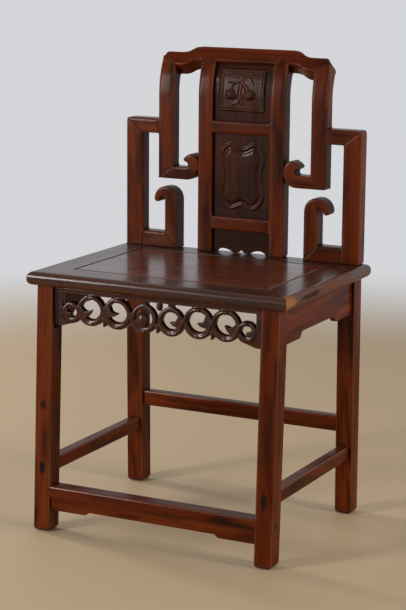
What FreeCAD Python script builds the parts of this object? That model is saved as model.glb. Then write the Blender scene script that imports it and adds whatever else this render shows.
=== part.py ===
import FreeCAD, Part
import math
import os
import Sketcher

# Driving dimensions of the chair, in millimetres.
SIZES = (
    # Stance
    ("seat_height", "500"),
    ("seat_thickness", "26"),
    ("leg_spread", "502"),
    ("foot_spread", "410"),
    ("front_splay", "22"),
    ("back_splay", "6"),
    ("leg_width", "35"),
    ("leg_depth", "37"),
    ("leg_tenon_width", "16"),
    ("leg_tenon_length", "12"),
    # Fits shared by all joints
    ("fit", "0.15"),
    ("overrun", "5"),
    # Seat frame and panel
    ("seat_side_overhang", "17"),
    ("seat_front_overhang", "10"),
    ("seat_back_overhang", "3"),
    ("seat_edge_round", "11"),
    ("seat_rail_cover", "13"),
    ("seat_panel_gap", "1.6"),
    ("seat_panel_thickness", "12"),
    ("seat_tongue_thickness", "6"),
    ("seat_tongue_length", "7"),
    ("mitre_tenon_gap", "2"),
    ("mitre_tenon_width", "8"),
    ("mitre_tenon_thickness", "8"),
    ("mitre_tenon_cover", "14"),
    ("batten_place", "80"),
    ("batten_width", "30"),
    ("batten_height", "13"),
    ("batten_tenon_width", "20"),
    ("batten_tenon_height", "7"),
    ("batten_tenon_length", "12"),
    # Stretchers
    ("front_stretcher_base", "68"),
    ("front_stretcher_height", "22"),
    ("front_stretcher_depth", "34"),
    ("front_tenon_width", "18"),
    ("front_tenon_height", "11"),
    ("side_stretcher_base", "112"),
    ("side_stretcher_height", "27"),
    ("side_stretcher_thickness", "23"),
    ("side_stretcher_inset", "6.5"),
    ("side_tenon_height", "18"),
    ("side_tenon_thickness", "11"),
    ("back_stretcher_base", "165"),
    ("back_stretcher_height", "31"),
    ("back_stretcher_thickness", "23"),
    ("back_stretcher_inset", "6"),
    ("back_tenon_height", "18"),
    ("back_tenon_thickness", "11"),
    ("strip_height", "20"),
    ("strip_end_drop", "6"),
    ("strip_end_length", "76"),
    ("strip_step_length", "8"),
    ("strip_thickness", "10"),
    ("strip_recess", "5"),
    # Aprons below the seat
    ("apron_tongue", "5"),
    ("side_apron_height", "58"),
    ("side_apron_end_drop", "12"),
    ("side_apron_end_length", "72"),
    ("side_apron_step_length", "10"),
    ("side_apron_thickness", "13"),
    ("side_apron_recess", "6"),
    ("front_apron_height", "74"),
    ("front_apron_thickness", "14"),
    ("front_apron_recess", "6"),
    ("apron_border_height", "11"),
    ("apron_border_width", "15"),
    ("scroll_band", "9.5"),
    ("scroll_bite", "1.5"),
    ("scroll_stem_width", "12"),
    ("scroll_leaf_width", "14"),
    ("scroll_bud_width", "12"),
    # Back frame
    ("back_width", "509"),
    ("back_height", "404"),
    ("back_depth", "33"),
    ("back_margin", "1"),
    ("back_bend_rise", "94.5"),
    ("back_sweep", "33.5"),
    ("outer_stile_width", "37"),
    ("shoulder_height", "259"),
    ("shoulder_rail_height", "30"),
    ("shoulder_corner_round", "7"),
    ("upper_stile_width", "32.5"),
    ("hook_base", "140"),
    ("hook_height", "25"),
    ("hook_clearance", "0.3"),
    ("hook_rise", "28"),
    ("hook_mouth", "11"),
    ("foot_rail_height", "31"),
    ("lower_upright_width", "29"),
    ("lower_scroll_clearance", "16"),
    ("lower_scroll_mouth", "11"),
    ("lower_scroll_bulb", "13"),
    ("crest_height", "26"),
    ("crest_end_height", "25.5"),
    ("crest_drop", "11.5"),
    ("crest_ogee_length", "40"),
    ("crest_corner_round", "10"),
    ("spear_height", "12.5"),
    # Splat
    ("splat_stile_width", "31"),
    ("splat_middle_base", "237"),
    ("splat_middle_height", "25"),
    ("splat_lower_base", "46"),
    ("splat_lower_height", "27"),
    ("panel_setback", "10"),
    ("panel_thickness", "9"),
    ("panel_tongue", "5"),
    ("tablet_top_margin", "15.5"),
    ("tablet_margin", "21"),
    ("tablet_relief", "4"),
    ("cartouche_relief", "3"),
    ("splat_apron_gap", "0.3"),
    ("splat_apron_arch", "7.5"),
    ("splat_apron_foot", "8"),
    # Tenons of the back
    ("back_joint_thickness", "10"),
    ("back_joint_width", "12"),
    ("back_joint_length", "16"),
    ("back_joint_cover", "6"),
    ("hook_tenon_height", "7"),
    ("back_foot_tenon_width", "16"),
    ("back_foot_tenon_length", "11"),
)

# Places across the back, as shares of half its width: the outer faces of the upper stiles, of the
# uprights on the foot rails and of the splat, and the end of the crest's flat top.
UPPER_BACK_SHARE = 0.715
LOWER_UPRIGHT_SHARE = 0.656
SPLAT_SHARE = 0.3674
CREST_FLAT_SHARE = 0.393
# Reach of a hook's tip as a share of the way from the splat to the upper stile, and width of the
# tablet as a share of the panel's.
HOOK_TIP_SHARE = 0.59
TABLET_SHARE = 0.72
# Pierced scroll rings on one half of the front apron, from the leg to the middle.
# Each has its place and radius as shares of the half span, and its drop below
# the border as a share of its radius.
SCROLL_RING_SHARES = (
    (0.842, 0.097, 0.80),
    (0.648, 0.139, 0.00),
    (0.389, 0.139, 0.03),
    (0.130, 0.127, 0.26),
)
# Curl inside each ring, a beak that grows from the ring: three arcs in shares of the ring's hole.
SCROLL_CURL_SHARES = (
    ((1.02, 0.10), (0.50, -0.18), (-0.08, 0.06)),
    ((-0.08, 0.06), (0.10, -0.42), (0.52, -0.90)),
    ((0.52, -0.90), (0.93, -0.53), (1.02, 0.10)),
)
# Scalloped foot of the splat, from one side to the middle: places as shares of the
# half width, heights as shares of the arch; a notch stands in the middle.
SPLAT_FOOT_SHARES = (
    ((0.76, 0.72), (0.64, 1.00)),
    ((0.48, 0.80), (0.29, 0.06)),
    ((0.20, 0.02), (0.12, 0.15)),
)
SPLAT_FOOT_NOTCH_SHARE = 0.80
# Lobed cartouche on the lower panel, from its top to its foot on one side: shares of the panel's
# half width and half height.
CARTOUCHE_SHARES = (
    (0.00, 0.64), (0.22, 0.71), (0.42, 0.74), (0.60, 0.63), (0.76, 0.50), (0.73, 0.34), (0.58, 0.10),
    (0.64, -0.20), (0.75, -0.45), (0.70, -0.60), (0.54, -0.68), (0.36, -0.82), (0.18, -0.76), (0.00, -0.70),
)

doc = FreeCAD.newDocument("chair")
dim = doc.addObject("Spreadsheet::Sheet", "dim")
for row, (alias, number) in enumerate(SIZES, start=1):
    dim.set(f"A{row}", alias)
    dim.set(f"B{row}", number)
    dim.setAlias(f"B{row}", alias)
doc.recompute()

VIEWS = {
    "front": (FreeCAD.Rotation(FreeCAD.Vector(1, 0, 0), 90), "y", FreeCAD.Vector(0, 1, 0)),
    "side": (FreeCAD.Rotation(FreeCAD.Vector(1, 1, 1), 120), "x", FreeCAD.Vector(1, 0, 0)),
    "top": (FreeCAD.Rotation(), "z", FreeCAD.Vector(0, 0, 1)),
}
pieces = []


def size(alias):
    """Give one driving dimension as a number."""
    return float(dim.get(alias))


def piece(solid):
    """Enter a finished sub-part in the list that is written out."""
    pieces.append(solid)
    return solid


def prism(name, view, corners, low, high):
    """Extrude a straight-sided outline, drawn in one view, between two planes."""
    turn, axis, direction = VIEWS[view]
    sketch = doc.addObject("Sketcher::SketchObject", name + "_sketch")
    sketch.Placement = FreeCAD.Placement(FreeCAD.Vector(), turn)
    sketch.setExpression(f"Placement.Base.{axis}", low)
    count = len(corners)
    turns = [2 * math.pi * index / count for index in range(count)]
    spots = [FreeCAD.Vector(math.cos(turn), math.sin(turn)) for turn in turns]
    for index in range(count):
        sketch.addGeometry(Part.LineSegment(spots[index], spots[(index + 1) % count]))
    for index in range(count):
        following = (index + 1) % count
        sketch.addConstraint(Sketcher.Constraint("Coincident", index, 2, following, 1))
    for index, corner in enumerate(corners):
        for kind, place in zip(("DistanceX", "DistanceY"), corner):
            rule = sketch.addConstraint(Sketcher.Constraint(kind, -1, 1, index, 1, 0))
            sketch.setExpression(f"Constraints[{rule}]", place)
    solid = doc.addObject("Part::Extrusion", name)
    solid.Base = sketch
    solid.DirMode = "Custom"
    solid.Dir = direction
    solid.Solid = True
    solid.setExpression("LengthFwd", f"({high}) - ({low})")
    return solid


def block(name, x, y, z):
    """Make a square-edged block between three pairs of planes."""
    solid = doc.addObject("Part::Box", name)
    for side, axis, (low, high) in zip(("Length", "Width", "Height"), "xyz", (x, y, z)):
        solid.setExpression(side, f"({high}) - ({low})")
        solid.setExpression(f"Placement.Base.{axis}", low)
    return solid


def formed(name, shape):
    """Enter a shape with curved outlines in the document."""
    solid = doc.addObject("Part::Feature", name)
    solid.Shape = shape
    return solid


def together(name, *solids):
    """Fuse solids into one."""
    fused = doc.addObject("Part::MultiFuse", name)
    fused.Shapes = list(solids)
    fused.Refine = True
    return fused


def less(name, base, *tools):
    """Cut one or more tools out of a solid."""
    result = doc.addObject("Part::Cut", name)
    result.Base = base
    result.Tool = tools[0] if len(tools) == 1 else together(name + "_tools", *tools)
    return result


def overlap(name, first, second):
    """Keep what two solids have in common."""
    result = doc.addObject("Part::Common", name)
    result.Base = first
    result.Tool = second
    return result


def mirrored(name, source):
    """Make the left-hand twin of a right-hand solid."""
    twin = doc.addObject("Part::Mirroring", name)
    twin.Source = source
    twin.Normal = FreeCAD.Vector(1, 0, 0)
    return twin


def both(middle, width):
    """Give the pair of planes at half a width either side of a middle."""
    return f"({middle}) - ({width}) / 2", f"({middle}) + ({width}) / 2"


def eased(pair):
    """Widen a pair of planes by the clearance of a fit."""
    return f"({pair[0]}) - dim.fit", f"({pair[1]}) + dim.fit"


def through(pair):
    """Widen a pair of planes so that a cut runs out on both sides."""
    return f"({pair[0]}) - dim.overrun", f"({pair[1]}) + dim.overrun"


# Places that several pieces share
UNDER = "(dim.seat_height - dim.seat_thickness)"
SEAT = "dim.seat_height"
LEG_OUTER = "(dim.leg_spread / 2)"
LEG_INNER = f"({LEG_OUTER} - dim.leg_width)"
LEG_MIDDLE = f"({LEG_OUTER} - dim.leg_width / 2)"
# The back bends to one radius. Its crest reaches behind the back feet, and the origin lies
# midway between the crest and the front feet.
BEND_RADIUS = "((dim.back_bend_rise ^ 2 + dim.back_sweep ^ 2) / (2 * dim.back_sweep))"
CREST_REACH = f"(dim.back_sweep * (1 - dim.back_depth / {BEND_RADIUS}))"
REARWARD = f"(({CREST_REACH} + dim.seat_back_overhang - dim.back_margin - dim.back_splay) / 2)"
FRONT_FOOT = f"(-dim.foot_spread / 2 - {REARWARD})"
BACK_FOOT = f"(dim.foot_spread / 2 - {REARWARD})"


def front_outer(height):
    """Front face of a front leg at a height."""
    return f"({FRONT_FOOT} + dim.front_splay * ({height}) / {UNDER})"


def front_inner(height):
    """Rear face of a front leg at a height."""
    return f"({front_outer(height)} + dim.leg_depth)"


def back_outer(height):
    """Rear face of a back leg at a height."""
    return f"({BACK_FOOT} - dim.back_splay * ({height}) / {UNDER})"


def back_inner(height):
    """Front face of a back leg at a height."""
    return f"({back_outer(height)} - dim.leg_depth)"


SEAT_X = f"({LEG_OUTER} + dim.seat_side_overhang)"
SEAT_FRONT = f"({front_outer(UNDER)} - dim.seat_front_overhang)"
SEAT_BACK = f"({back_outer(UNDER)} + dim.seat_back_overhang)"
# The seat rails reach past the legs' inner faces, and have one width all round.
SEAT_RAIL = "(dim.seat_side_overhang + dim.leg_width + dim.seat_rail_cover)"
OPENING_X = f"({SEAT_X} - {SEAT_RAIL})"
OPENING_FRONT = f"({SEAT_FRONT} + {SEAT_RAIL})"
OPENING_BACK = f"({SEAT_BACK} - {SEAT_RAIL})"


def bend_radius():
    """Give the radius of the back's front face where it bends."""
    return (size("back_bend_rise") ** 2 + size("back_sweep") ** 2) / (2 * size("back_sweep"))


def bend_start():
    """Give the height at which the back begins to bend."""
    return size("seat_height") + size("back_height") - size("back_bend_rise")


def rearward():
    """Give how far the origin lies behind the middle of the feet."""
    reach = size("back_sweep") * (1 - size("back_depth") / bend_radius())
    return (reach + size("seat_back_overhang") - size("back_margin") - size("back_splay")) / 2


def back_start():
    """Give the front face of the back where it stands on the seat."""
    rear_edge = size("foot_spread") / 2 - rearward() - size("back_splay") + size("seat_back_overhang")
    return rear_edge - size("back_margin") - size("back_depth")


# Stretchers, with tenons that run through the legs
FRONT_LOW = "dim.front_stretcher_base"
FRONT_HIGH = f"({FRONT_LOW} + dim.front_stretcher_height)"
FRONT_MIDDLE = f"({FRONT_LOW} + dim.front_stretcher_height / 2)"
front_tenon_y = both(f"{front_outer(FRONT_MIDDLE)} + dim.front_stretcher_depth / 2", "dim.front_tenon_width")
front_tenon_z = both(FRONT_MIDDLE, "dim.front_tenon_height")
SIDE_LOW = "dim.side_stretcher_base"
SIDE_HIGH = f"({SIDE_LOW} + dim.side_stretcher_height)"
SIDE_MIDDLE = f"({SIDE_LOW} + dim.side_stretcher_height / 2)"
side_x = (
    f"{LEG_OUTER} - dim.side_stretcher_inset - dim.side_stretcher_thickness",
    f"{LEG_OUTER} - dim.side_stretcher_inset",
)
side_tenon_x = both(f"({side_x[0]} + {side_x[1]}) / 2", "dim.side_tenon_thickness")
side_tenon_z = both(SIDE_MIDDLE, "dim.side_tenon_height")
BACK_LOW = "dim.back_stretcher_base"
BACK_HIGH = f"({BACK_LOW} + dim.back_stretcher_height)"
BACK_MIDDLE = f"({BACK_LOW} + dim.back_stretcher_height / 2)"
BACK_FACE = "dim.back_stretcher_inset"
back_tenon_y = both(
    f"{back_inner(BACK_MIDDLE)} + {BACK_FACE} + dim.back_stretcher_thickness / 2", "dim.back_tenon_thickness"
)
back_tenon_z = both(BACK_MIDDLE, "dim.back_tenon_height")


def side_tenon(name, x, z, run_out):
    """Make the long tenon of a side stretcher, from leg face to leg face."""
    low, high = z
    corners = [
        (f"{front_outer(low)} - {run_out}", low),
        (f"{back_outer(low)} + {run_out}", low),
        (f"{back_outer(high)} + {run_out}", high),
        (f"{front_outer(high)} - {run_out}", high),
    ]
    return prism(name, "side", corners, *x)


def cross_rail(name, face, low, high, depth, tenon_y, tenon_z):
    """Make a stretcher that runs from side to side, with through tenons."""
    corners = [
        (face(low), low),
        (f"{face(low)} + {depth}", low),
        (f"{face(high)} + {depth}", high),
        (face(high), high),
    ]
    bar = prism(name + "_bar", "side", corners, f"-{LEG_INNER}", LEG_INNER)
    tenon = block(name + "_tenon", (f"-{LEG_OUTER}", LEG_OUTER), tenon_y, tenon_z)
    return piece(together(name, bar, tenon))


def back_rail_face(height):
    """Front face of the back stretcher at a height."""
    return f"({back_inner(height)} + {BACK_FACE})"


def stretchers():
    """Make the four stretchers, stepped in height from the front to the back."""
    cross_rail(
        "front_stretcher", front_outer, FRONT_LOW, FRONT_HIGH, "dim.front_stretcher_depth",
        front_tenon_y, front_tenon_z,
    )
    cross_rail(
        "back_stretcher", back_rail_face, BACK_LOW, BACK_HIGH, "dim.back_stretcher_thickness",
        back_tenon_y, back_tenon_z,
    )
    corners = [
        (front_inner(SIDE_LOW), SIDE_LOW),
        (back_inner(SIDE_LOW), SIDE_LOW),
        (back_inner(SIDE_HIGH), SIDE_HIGH),
        (front_inner(SIDE_HIGH), SIDE_HIGH),
    ]
    bar = prism("right_stretcher_bar", "side", corners, *side_x)
    tenon = side_tenon("right_stretcher_tenon", side_tenon_x, side_tenon_z, "0")
    right = piece(together("right_stretcher", bar, tenon))
    piece(mirrored("left_stretcher", right))


# Aprons and the strip below the front stretcher, housed in the legs
STRIP_LOW = f"({FRONT_LOW} - dim.strip_height)"
STRIP_END = f"({STRIP_LOW} - dim.strip_end_drop)"
STRIP_FRONT = f"({front_outer(FRONT_LOW)} + dim.strip_recess)"
strip_y = (STRIP_FRONT, f"{STRIP_FRONT} + dim.strip_thickness")
HOUSED_X = f"({LEG_INNER} + dim.apron_tongue)"
APRON_LOW = f"({UNDER} - dim.side_apron_height)"
APRON_END = f"({APRON_LOW} - dim.side_apron_end_drop)"
side_apron_x = (
    f"{LEG_OUTER} - dim.side_apron_recess - dim.side_apron_thickness",
    f"{LEG_OUTER} - dim.side_apron_recess",
)
back_apron_y = (
    f"{back_outer(UNDER)} - dim.side_apron_recess - dim.side_apron_thickness",
    f"{back_outer(UNDER)} - dim.side_apron_recess",
)
FRONT_APRON_LOW = f"({UNDER} - dim.front_apron_height)"
front_apron_y = (
    f"{front_outer(UNDER)} + dim.front_apron_recess",
    f"{front_outer(UNDER)} + dim.front_apron_recess + dim.front_apron_thickness",
)


def stepped_board(left, right, top, low, end, end_length, step_length):
    """Give the outline of a board whose two ends hang lower than its middle.

    Left and right give the board's end at a height, with its housing; the lengths of
    the hanging ends are measured from the legs' faces.
    """
    housed = f"({end_length} + dim.apron_tongue)"
    return [
        (left(top), top),
        (left(end), end),
        (f"{left(end)} + {housed}", end),
        (f"{left(end)} + {housed} + {step_length}", low),
        (f"{right(end)} - {housed} - {step_length}", low),
        (f"{right(end)} - {housed}", end),
        (right(end), end),
        (right(top), top),
    ]


def side_apron_front(height):
    """Housed front end of a side apron at a height."""
    return f"({front_inner(height)} - dim.apron_tongue)"


def side_apron_back(height):
    """Housed rear end of a side apron at a height."""
    return f"({back_inner(height)} + dim.apron_tongue)"


def straight_left(height):
    """Housed left end of a board between two upright legs."""
    return f"(-{HOUSED_X})"


def straight_right(height):
    """Housed right end of a board between two upright legs."""
    return HOUSED_X


def plain_aprons():
    """Make the side and back aprons and the strip below the front stretcher."""
    side = ("dim.side_apron_end_length", "dim.side_apron_step_length")
    outline = stepped_board(side_apron_front, side_apron_back, UNDER, APRON_LOW, APRON_END, *side)
    right = piece(prism("right_apron", "side", outline, *side_apron_x))
    piece(mirrored("left_apron", right))
    outline = stepped_board(straight_left, straight_right, UNDER, APRON_LOW, APRON_END, *side)
    piece(prism("back_apron", "front", outline, *back_apron_y))
    strip = ("dim.strip_end_length", "dim.strip_step_length")
    outline = stepped_board(straight_left, straight_right, FRONT_LOW, STRIP_LOW, STRIP_END, *strip)
    piece(prism("front_stretcher_apron", "front", outline, *strip_y))


def front_apron():
    """Make the pierced front apron: a border with a running row of scroll rings below it."""
    thickness = size("front_apron_thickness")
    front = size("front_splay") - size("foot_spread") / 2 - rearward() + size("front_apron_recess")
    half = size("leg_spread") / 2 - size("leg_width")
    housed = half + size("apron_tongue")
    top = size("seat_height") - size("seat_thickness")
    low = top - size("front_apron_height")
    border = top - size("apron_border_height")
    band = size("scroll_band")
    bite = size("scroll_bite")
    back_way = FreeCAD.Vector(0, 1, 0)

    def disc(x, z, radius):
        return Part.makeCylinder(radius, thickness, FreeCAD.Vector(x, front, z), back_way)

    def board(x, z, width, height):
        return Part.makeBox(width, thickness, height, FreeCAD.Vector(x, front, z))

    def plate(edges):
        face = Part.Face(Part.Wire([edge.toShape() for edge in edges]))
        face.translate(back_way * front)
        return face.extrude(back_way * thickness)

    def leaf(x, z, width, height):
        return plate(polygon([(x, z), (x + width / 2, z + height), (x - width / 2, z + height)]))

    inner = half - size("apron_border_width")
    solid = board(0, border, housed, top - border).fuse(board(inner, low, housed - inner, top - low))
    holes = []
    curls = []
    rings = []
    for place_share, radius_share, drop_share in SCROLL_RING_SHARES:
        radius = radius_share * half
        x = place_share * half
        z = border + bite - radius - drop_share * radius
        hole = radius - band
        rings.append((x, z, radius))
        solid = solid.fuse(disc(x, z, radius))
        holes.append(disc(x, z, hole))
        sides = [arc(*[(x + u * hole, z + v * hole) for u, v in side]) for side in SCROLL_CURL_SHARES]
        curls.append(plate(sides))
    x, z, radius = rings[0]
    solid = solid.fuse(plate(polygon([(x, z), (x, z - radius), (inner, low), (inner, z)])))
    bud = size("scroll_bud_width") / 2
    solid = solid.fuse(disc(0, border + bite - bud, bud))
    stem = size("scroll_stem_width")
    for x, z, radius in rings[1:]:
        solid = solid.fuse(board(x - stem / 2, z, stem, border + bite - z))
    leaf_width = size("scroll_leaf_width")
    joint = (rings[1][0] + rings[2][0]) / 2
    solid = solid.fuse(leaf(joint, low, leaf_width, rings[2][1] - low))
    solid = solid.fuse(leaf(0, low, leaf_width, rings[3][1] - low))
    for hole in holes:
        solid = solid.cut(hole)
    for curl in curls:
        solid = solid.fuse(curl)
    middle = board(0, low, housed, top - low)
    solid = solid.common(middle)
    twin = solid.mirror(FreeCAD.Vector(0, 0, 0), FreeCAD.Vector(1, 0, 0))
    piece(formed("front_apron", solid.fuse(twin).removeSplitter()))


# Legs
def leg_tenon(outer, inner):
    """Give the three pairs of planes of the tenon on a leg's top."""
    middle = f"({outer(UNDER)} + {inner(UNDER)}) / 2"
    width = "dim.leg_tenon_width"
    return both(LEG_MIDDLE, width), both(middle, width), (UNDER, f"{UNDER} + dim.leg_tenon_length")


def leg(name, outer, inner, housings):
    """Make a right-hand leg with its tenon and housings, and its left-hand twin."""
    corners = [(outer("0"), "0"), (inner("0"), "0"), (inner(UNDER), UNDER), (outer(UNDER), UNDER)]
    post = prism(f"{name}_post", "side", corners, LEG_INNER, LEG_OUTER)
    tenon = block(f"{name}_post_tenon", *leg_tenon(outer, inner))
    right = piece(less(f"{name}_right_leg", together(f"{name}_post_whole", post, tenon), *housings))
    piece(mirrored(f"{name}_left_leg", right))


def side_apron_housing(name, ends):
    """Make the cut that houses one end of a side apron in a leg."""
    (near_low, near_high), (far_low, far_high) = ends
    high = f"({UNDER} + dim.overrun)"
    low = f"({APRON_END} - dim.fit)"
    corners = [(near_low, low), (far_low, low), (far_high, high), (near_high, high)]
    return prism(name, "side", corners, *eased(side_apron_x))


def legs():
    """Make the four legs."""
    leg_x = (LEG_INNER, LEG_OUTER)
    housed_x = (f"{LEG_INNER} - dim.overrun", f"{HOUSED_X} + dim.fit")
    low = f"({APRON_END} - dim.fit)"
    high = f"({UNDER} + dim.overrun)"
    deep_front = [f"{side_apron_front(z)} - dim.fit" for z in (low, high)]
    open_front = [f"{front_inner(z)} + dim.overrun" for z in (low, high)]
    deep_back = [f"{side_apron_back(z)} + dim.fit" for z in (low, high)]
    open_back = [f"{back_inner(z)} - dim.overrun" for z in (low, high)]
    front = [
        block("front_mortise", through(leg_x), eased(front_tenon_y), eased(front_tenon_z)),
        side_tenon("front_side_mortise", eased(side_tenon_x), eased(side_tenon_z), "dim.overrun"),
        block("front_apron_housing", housed_x, eased(front_apron_y), through((FRONT_APRON_LOW, UNDER))),
        side_apron_housing("front_side_housing", (deep_front, open_front)),
        block("strip_housing", housed_x, eased(strip_y), eased((STRIP_END, FRONT_LOW))),
    ]
    leg("front", front_outer, front_inner, front)
    back = [
        block("back_mortise", through(leg_x), eased(back_tenon_y), eased(back_tenon_z)),
        side_tenon("back_side_mortise", eased(side_tenon_x), eased(side_tenon_z), "dim.overrun"),
        block("back_apron_housing", housed_x, eased(back_apron_y), (low, high)),
        side_apron_housing("back_side_housing", (open_back, deep_back)),
    ]
    leg("back", back_outer, back_inner, back)


# Back: all members are sawn from one slab that bends backward near its top
BACK_REAR = f"({SEAT_BACK} - dim.back_margin)"
BACK_FRONT = f"({BACK_REAR} - dim.back_depth)"
back_span = through((BACK_FRONT, f"{BACK_REAR} + dim.back_sweep"))
STILE_OUT = "(dim.back_width / 2)"
STILE_IN = f"({STILE_OUT} - dim.outer_stile_width)"
STILE_MIDDLE = f"({STILE_OUT} - dim.outer_stile_width / 2)"
SHOULDER_TOP = f"({SEAT} + dim.shoulder_height)"
SHOULDER_LOW = f"({SHOULDER_TOP} - dim.shoulder_rail_height)"
UPPER_OUT = f"({UPPER_BACK_SHARE} * {STILE_OUT})"
UPPER_IN = f"({UPPER_OUT} - dim.upper_stile_width)"
HOOK_LOW = f"({SEAT} + dim.hook_base)"
HOOK_TOP = f"({HOOK_LOW} + dim.hook_height)"
FOOT_TOP = f"({SEAT} + dim.foot_rail_height)"
LOWER_OUT = f"({LOWER_UPRIGHT_SHARE} * {STILE_OUT})"
LOWER_IN = f"({LOWER_OUT} - dim.lower_upright_width)"
SPLAT_OUT = f"({SPLAT_SHARE} * {STILE_OUT})"
SPLAT_IN = f"({SPLAT_OUT} - dim.splat_stile_width)"
SPLAT_MIDDLE = f"({SPLAT_OUT} - dim.splat_stile_width / 2)"
BACK_TOP = f"({SEAT} + dim.back_height)"
CREST_LOW = f"({BACK_TOP} - dim.crest_height)"
MIDDLE_LOW = f"({SEAT} + dim.splat_middle_base)"
MIDDLE_TOP = f"({MIDDLE_LOW} + dim.splat_middle_height)"
LOWER_LOW = f"({SEAT} + dim.splat_lower_base)"
LOWER_TOP = f"({LOWER_LOW} + dim.splat_lower_height)"
COVER = "dim.back_joint_cover"
JOINT = "dim.back_joint_width"
REACH = "dim.back_joint_length"
foot_z = (f"{SEAT} - dim.back_foot_tenon_length", SEAT)
# Tenons of the right half, each as its width and its height in the front view
stile_foot = (both(STILE_MIDDLE, "dim.back_foot_tenon_width"), foot_z)
splat_foot = (both(SPLAT_MIDDLE, "dim.back_foot_tenon_width"), foot_z)
rail_foot = (both(f"({LOWER_OUT} + {STILE_IN}) / 2", "dim.back_foot_tenon_width"), foot_z)
shoulder_mitre = (
    (STILE_IN, f"{STILE_OUT} - {COVER}"),
    (f"{SHOULDER_LOW} + {COVER}", f"{SHOULDER_LOW} + {COVER} + {JOINT}"),
)
shoulder_end = (
    (f"{UPPER_OUT} - {REACH}", UPPER_OUT),
    both(f"({SHOULDER_LOW} + {SHOULDER_TOP}) / 2", JOINT),
)
hook_mitre = (
    (UPPER_IN, f"{UPPER_OUT} - {COVER}"),
    (f"{HOOK_LOW} + {COVER}", f"{HOOK_LOW} + {COVER} + dim.hook_tenon_height"),
)
hook_end = (
    (f"{SPLAT_OUT} - {REACH} / 2", f"{SPLAT_OUT} + {REACH} / 2"),
    both(HOOK_TOP, JOINT),
)
foot_end = (
    (STILE_IN, f"{STILE_IN} + {REACH}"),
    both(f"({SEAT} + {FOOT_TOP}) / 2", JOINT),
)
foot_mitre = (
    (f"{LOWER_IN} + {COVER}", LOWER_OUT),
    (f"{SEAT} + {COVER}", f"{SEAT} + {COVER} + {JOINT}"),
)
middle_end = (
    (f"-({SPLAT_IN} + {REACH})", f"{SPLAT_IN} + {REACH}"),
    both(f"({MIDDLE_LOW} + {MIDDLE_TOP}) / 2", JOINT),
)
lower_end = (
    (f"-({SPLAT_IN} + {REACH})", f"{SPLAT_IN} + {REACH}"),
    both(f"({LOWER_LOW} + {LOWER_TOP}) / 2", JOINT),
)
# Panels with their tongues, in the front view
panel_x = (f"-({SPLAT_IN} + dim.panel_tongue)", f"{SPLAT_IN} + dim.panel_tongue")
upper_panel_z = (f"{MIDDLE_TOP} - dim.panel_tongue", CREST_LOW)
lower_panel_z = (f"{LOWER_TOP} - dim.panel_tongue", f"{MIDDLE_LOW} + dim.panel_tongue")
foot_panel_z = (f"{SEAT} + dim.splat_apron_gap", f"{LOWER_LOW} + dim.panel_tongue")


def back_layer(name, setback, thickness):
    """Make one layer of the bent slab, from its setback behind the front face."""
    front = back_start() + setback
    rear = front + thickness
    low = size("seat_height") - size("seat_thickness")
    bend = bend_start()
    turn = math.asin((size("back_bend_rise") + size("overrun")) / bend_radius())
    centre = back_start() + bend_radius()

    def spot(y, z):
        return FreeCAD.Vector(0, y, z)

    def bent(y, angle):
        return spot(centre - (centre - y) * math.cos(angle), bend + (centre - y) * math.sin(angle))

    edges = [
        Part.LineSegment(spot(rear, low), spot(front, low)),
        Part.LineSegment(spot(front, low), spot(front, bend)),
        Part.Arc(spot(front, bend), bent(front, turn / 2), bent(front, turn)),
        Part.LineSegment(bent(front, turn), bent(rear, turn)),
        Part.Arc(bent(rear, turn), bent(rear, turn / 2), spot(rear, bend)),
        Part.LineSegment(spot(rear, bend), spot(rear, low)),
    ]
    face = Part.Face(Part.Wire([edge.toShape() for edge in edges]))
    half = size("back_width") / 2 + size("overrun")
    face.translate(FreeCAD.Vector(-half, 0, 0))
    return formed(name, face.extrude(FreeCAD.Vector(2 * half, 0, 0)))


whole_depth = back_layer("whole_depth", 0, size("back_depth"))
tenon_setback = (size("back_depth") - size("back_joint_thickness")) / 2
tenon_depth = back_layer("tenon_depth", tenon_setback, size("back_joint_thickness"))
mortise_depth = back_layer(
    "mortise_depth", tenon_setback - size("fit"), size("back_joint_thickness") + 2 * size("fit")
)
panel_depth = back_layer("panel_depth", size("panel_setback"), size("panel_thickness"))
groove_depth = back_layer(
    "groove_depth", size("panel_setback") - size("fit"), size("panel_thickness") + 2 * size("fit")
)
tablet_depth = back_layer(
    "tablet_depth", size("panel_setback") - size("tablet_relief"), size("tablet_relief")
)
cartouche_depth = back_layer(
    "cartouche_depth", size("panel_setback") - size("cartouche_relief"), size("cartouche_relief")
)


def sawn(name, boxes, depth):
    """Make front-view rectangles as one solid in a layer of the slab."""
    solids = [block(f"{name}_{index}", x, back_span, z) for index, (x, z) in enumerate(boxes)]
    whole = solids[0] if len(solids) == 1 else together(f"{name}_set", *solids)
    return overlap(name, whole, depth)


def mortises(name, joints):
    """Make the cuts for a list of tenons."""
    return sawn(name, [(eased(x), eased(z)) for x, z in joints], mortise_depth)


def grooves(name, *heights):
    """Make the grooves that hold the tongues of panels."""
    return sawn(name, [(eased(panel_x), eased(z)) for z in heights], groove_depth)


def member(name, outline, tenons=(), cuts=(), leaning_tenon=None):
    """Make a back member from its outline, its tenons and the cuts in it.

    A leaning tenon enters the crest, and is given as a solid.
    """
    body = overlap(f"{name}_body", outline, whole_depth)
    added = [sawn(f"{name}_tenons", tenons, tenon_depth)] if tenons else []
    if leaning_tenon:
        added.append(leaning_tenon)
    if added:
        body = together(f"{name}_tenoned", body, *added)
    if cuts:
        body = less(f"{name}_fitted", body, *cuts)
    body.Label = name
    return body


def pair(name, outline, tenons=(), cuts=(), leaning_tenon=None):
    """Make a right-hand back member and its left-hand twin."""
    right = piece(member(f"right_{name}", outline, tenons, cuts, leaning_tenon))
    piece(mirrored(f"left_{name}", right))


def straight_outline(name, corners):
    """Extrude a straight-sided front outline through the whole back."""
    return prism(name, "front", corners, *back_span)


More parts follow.
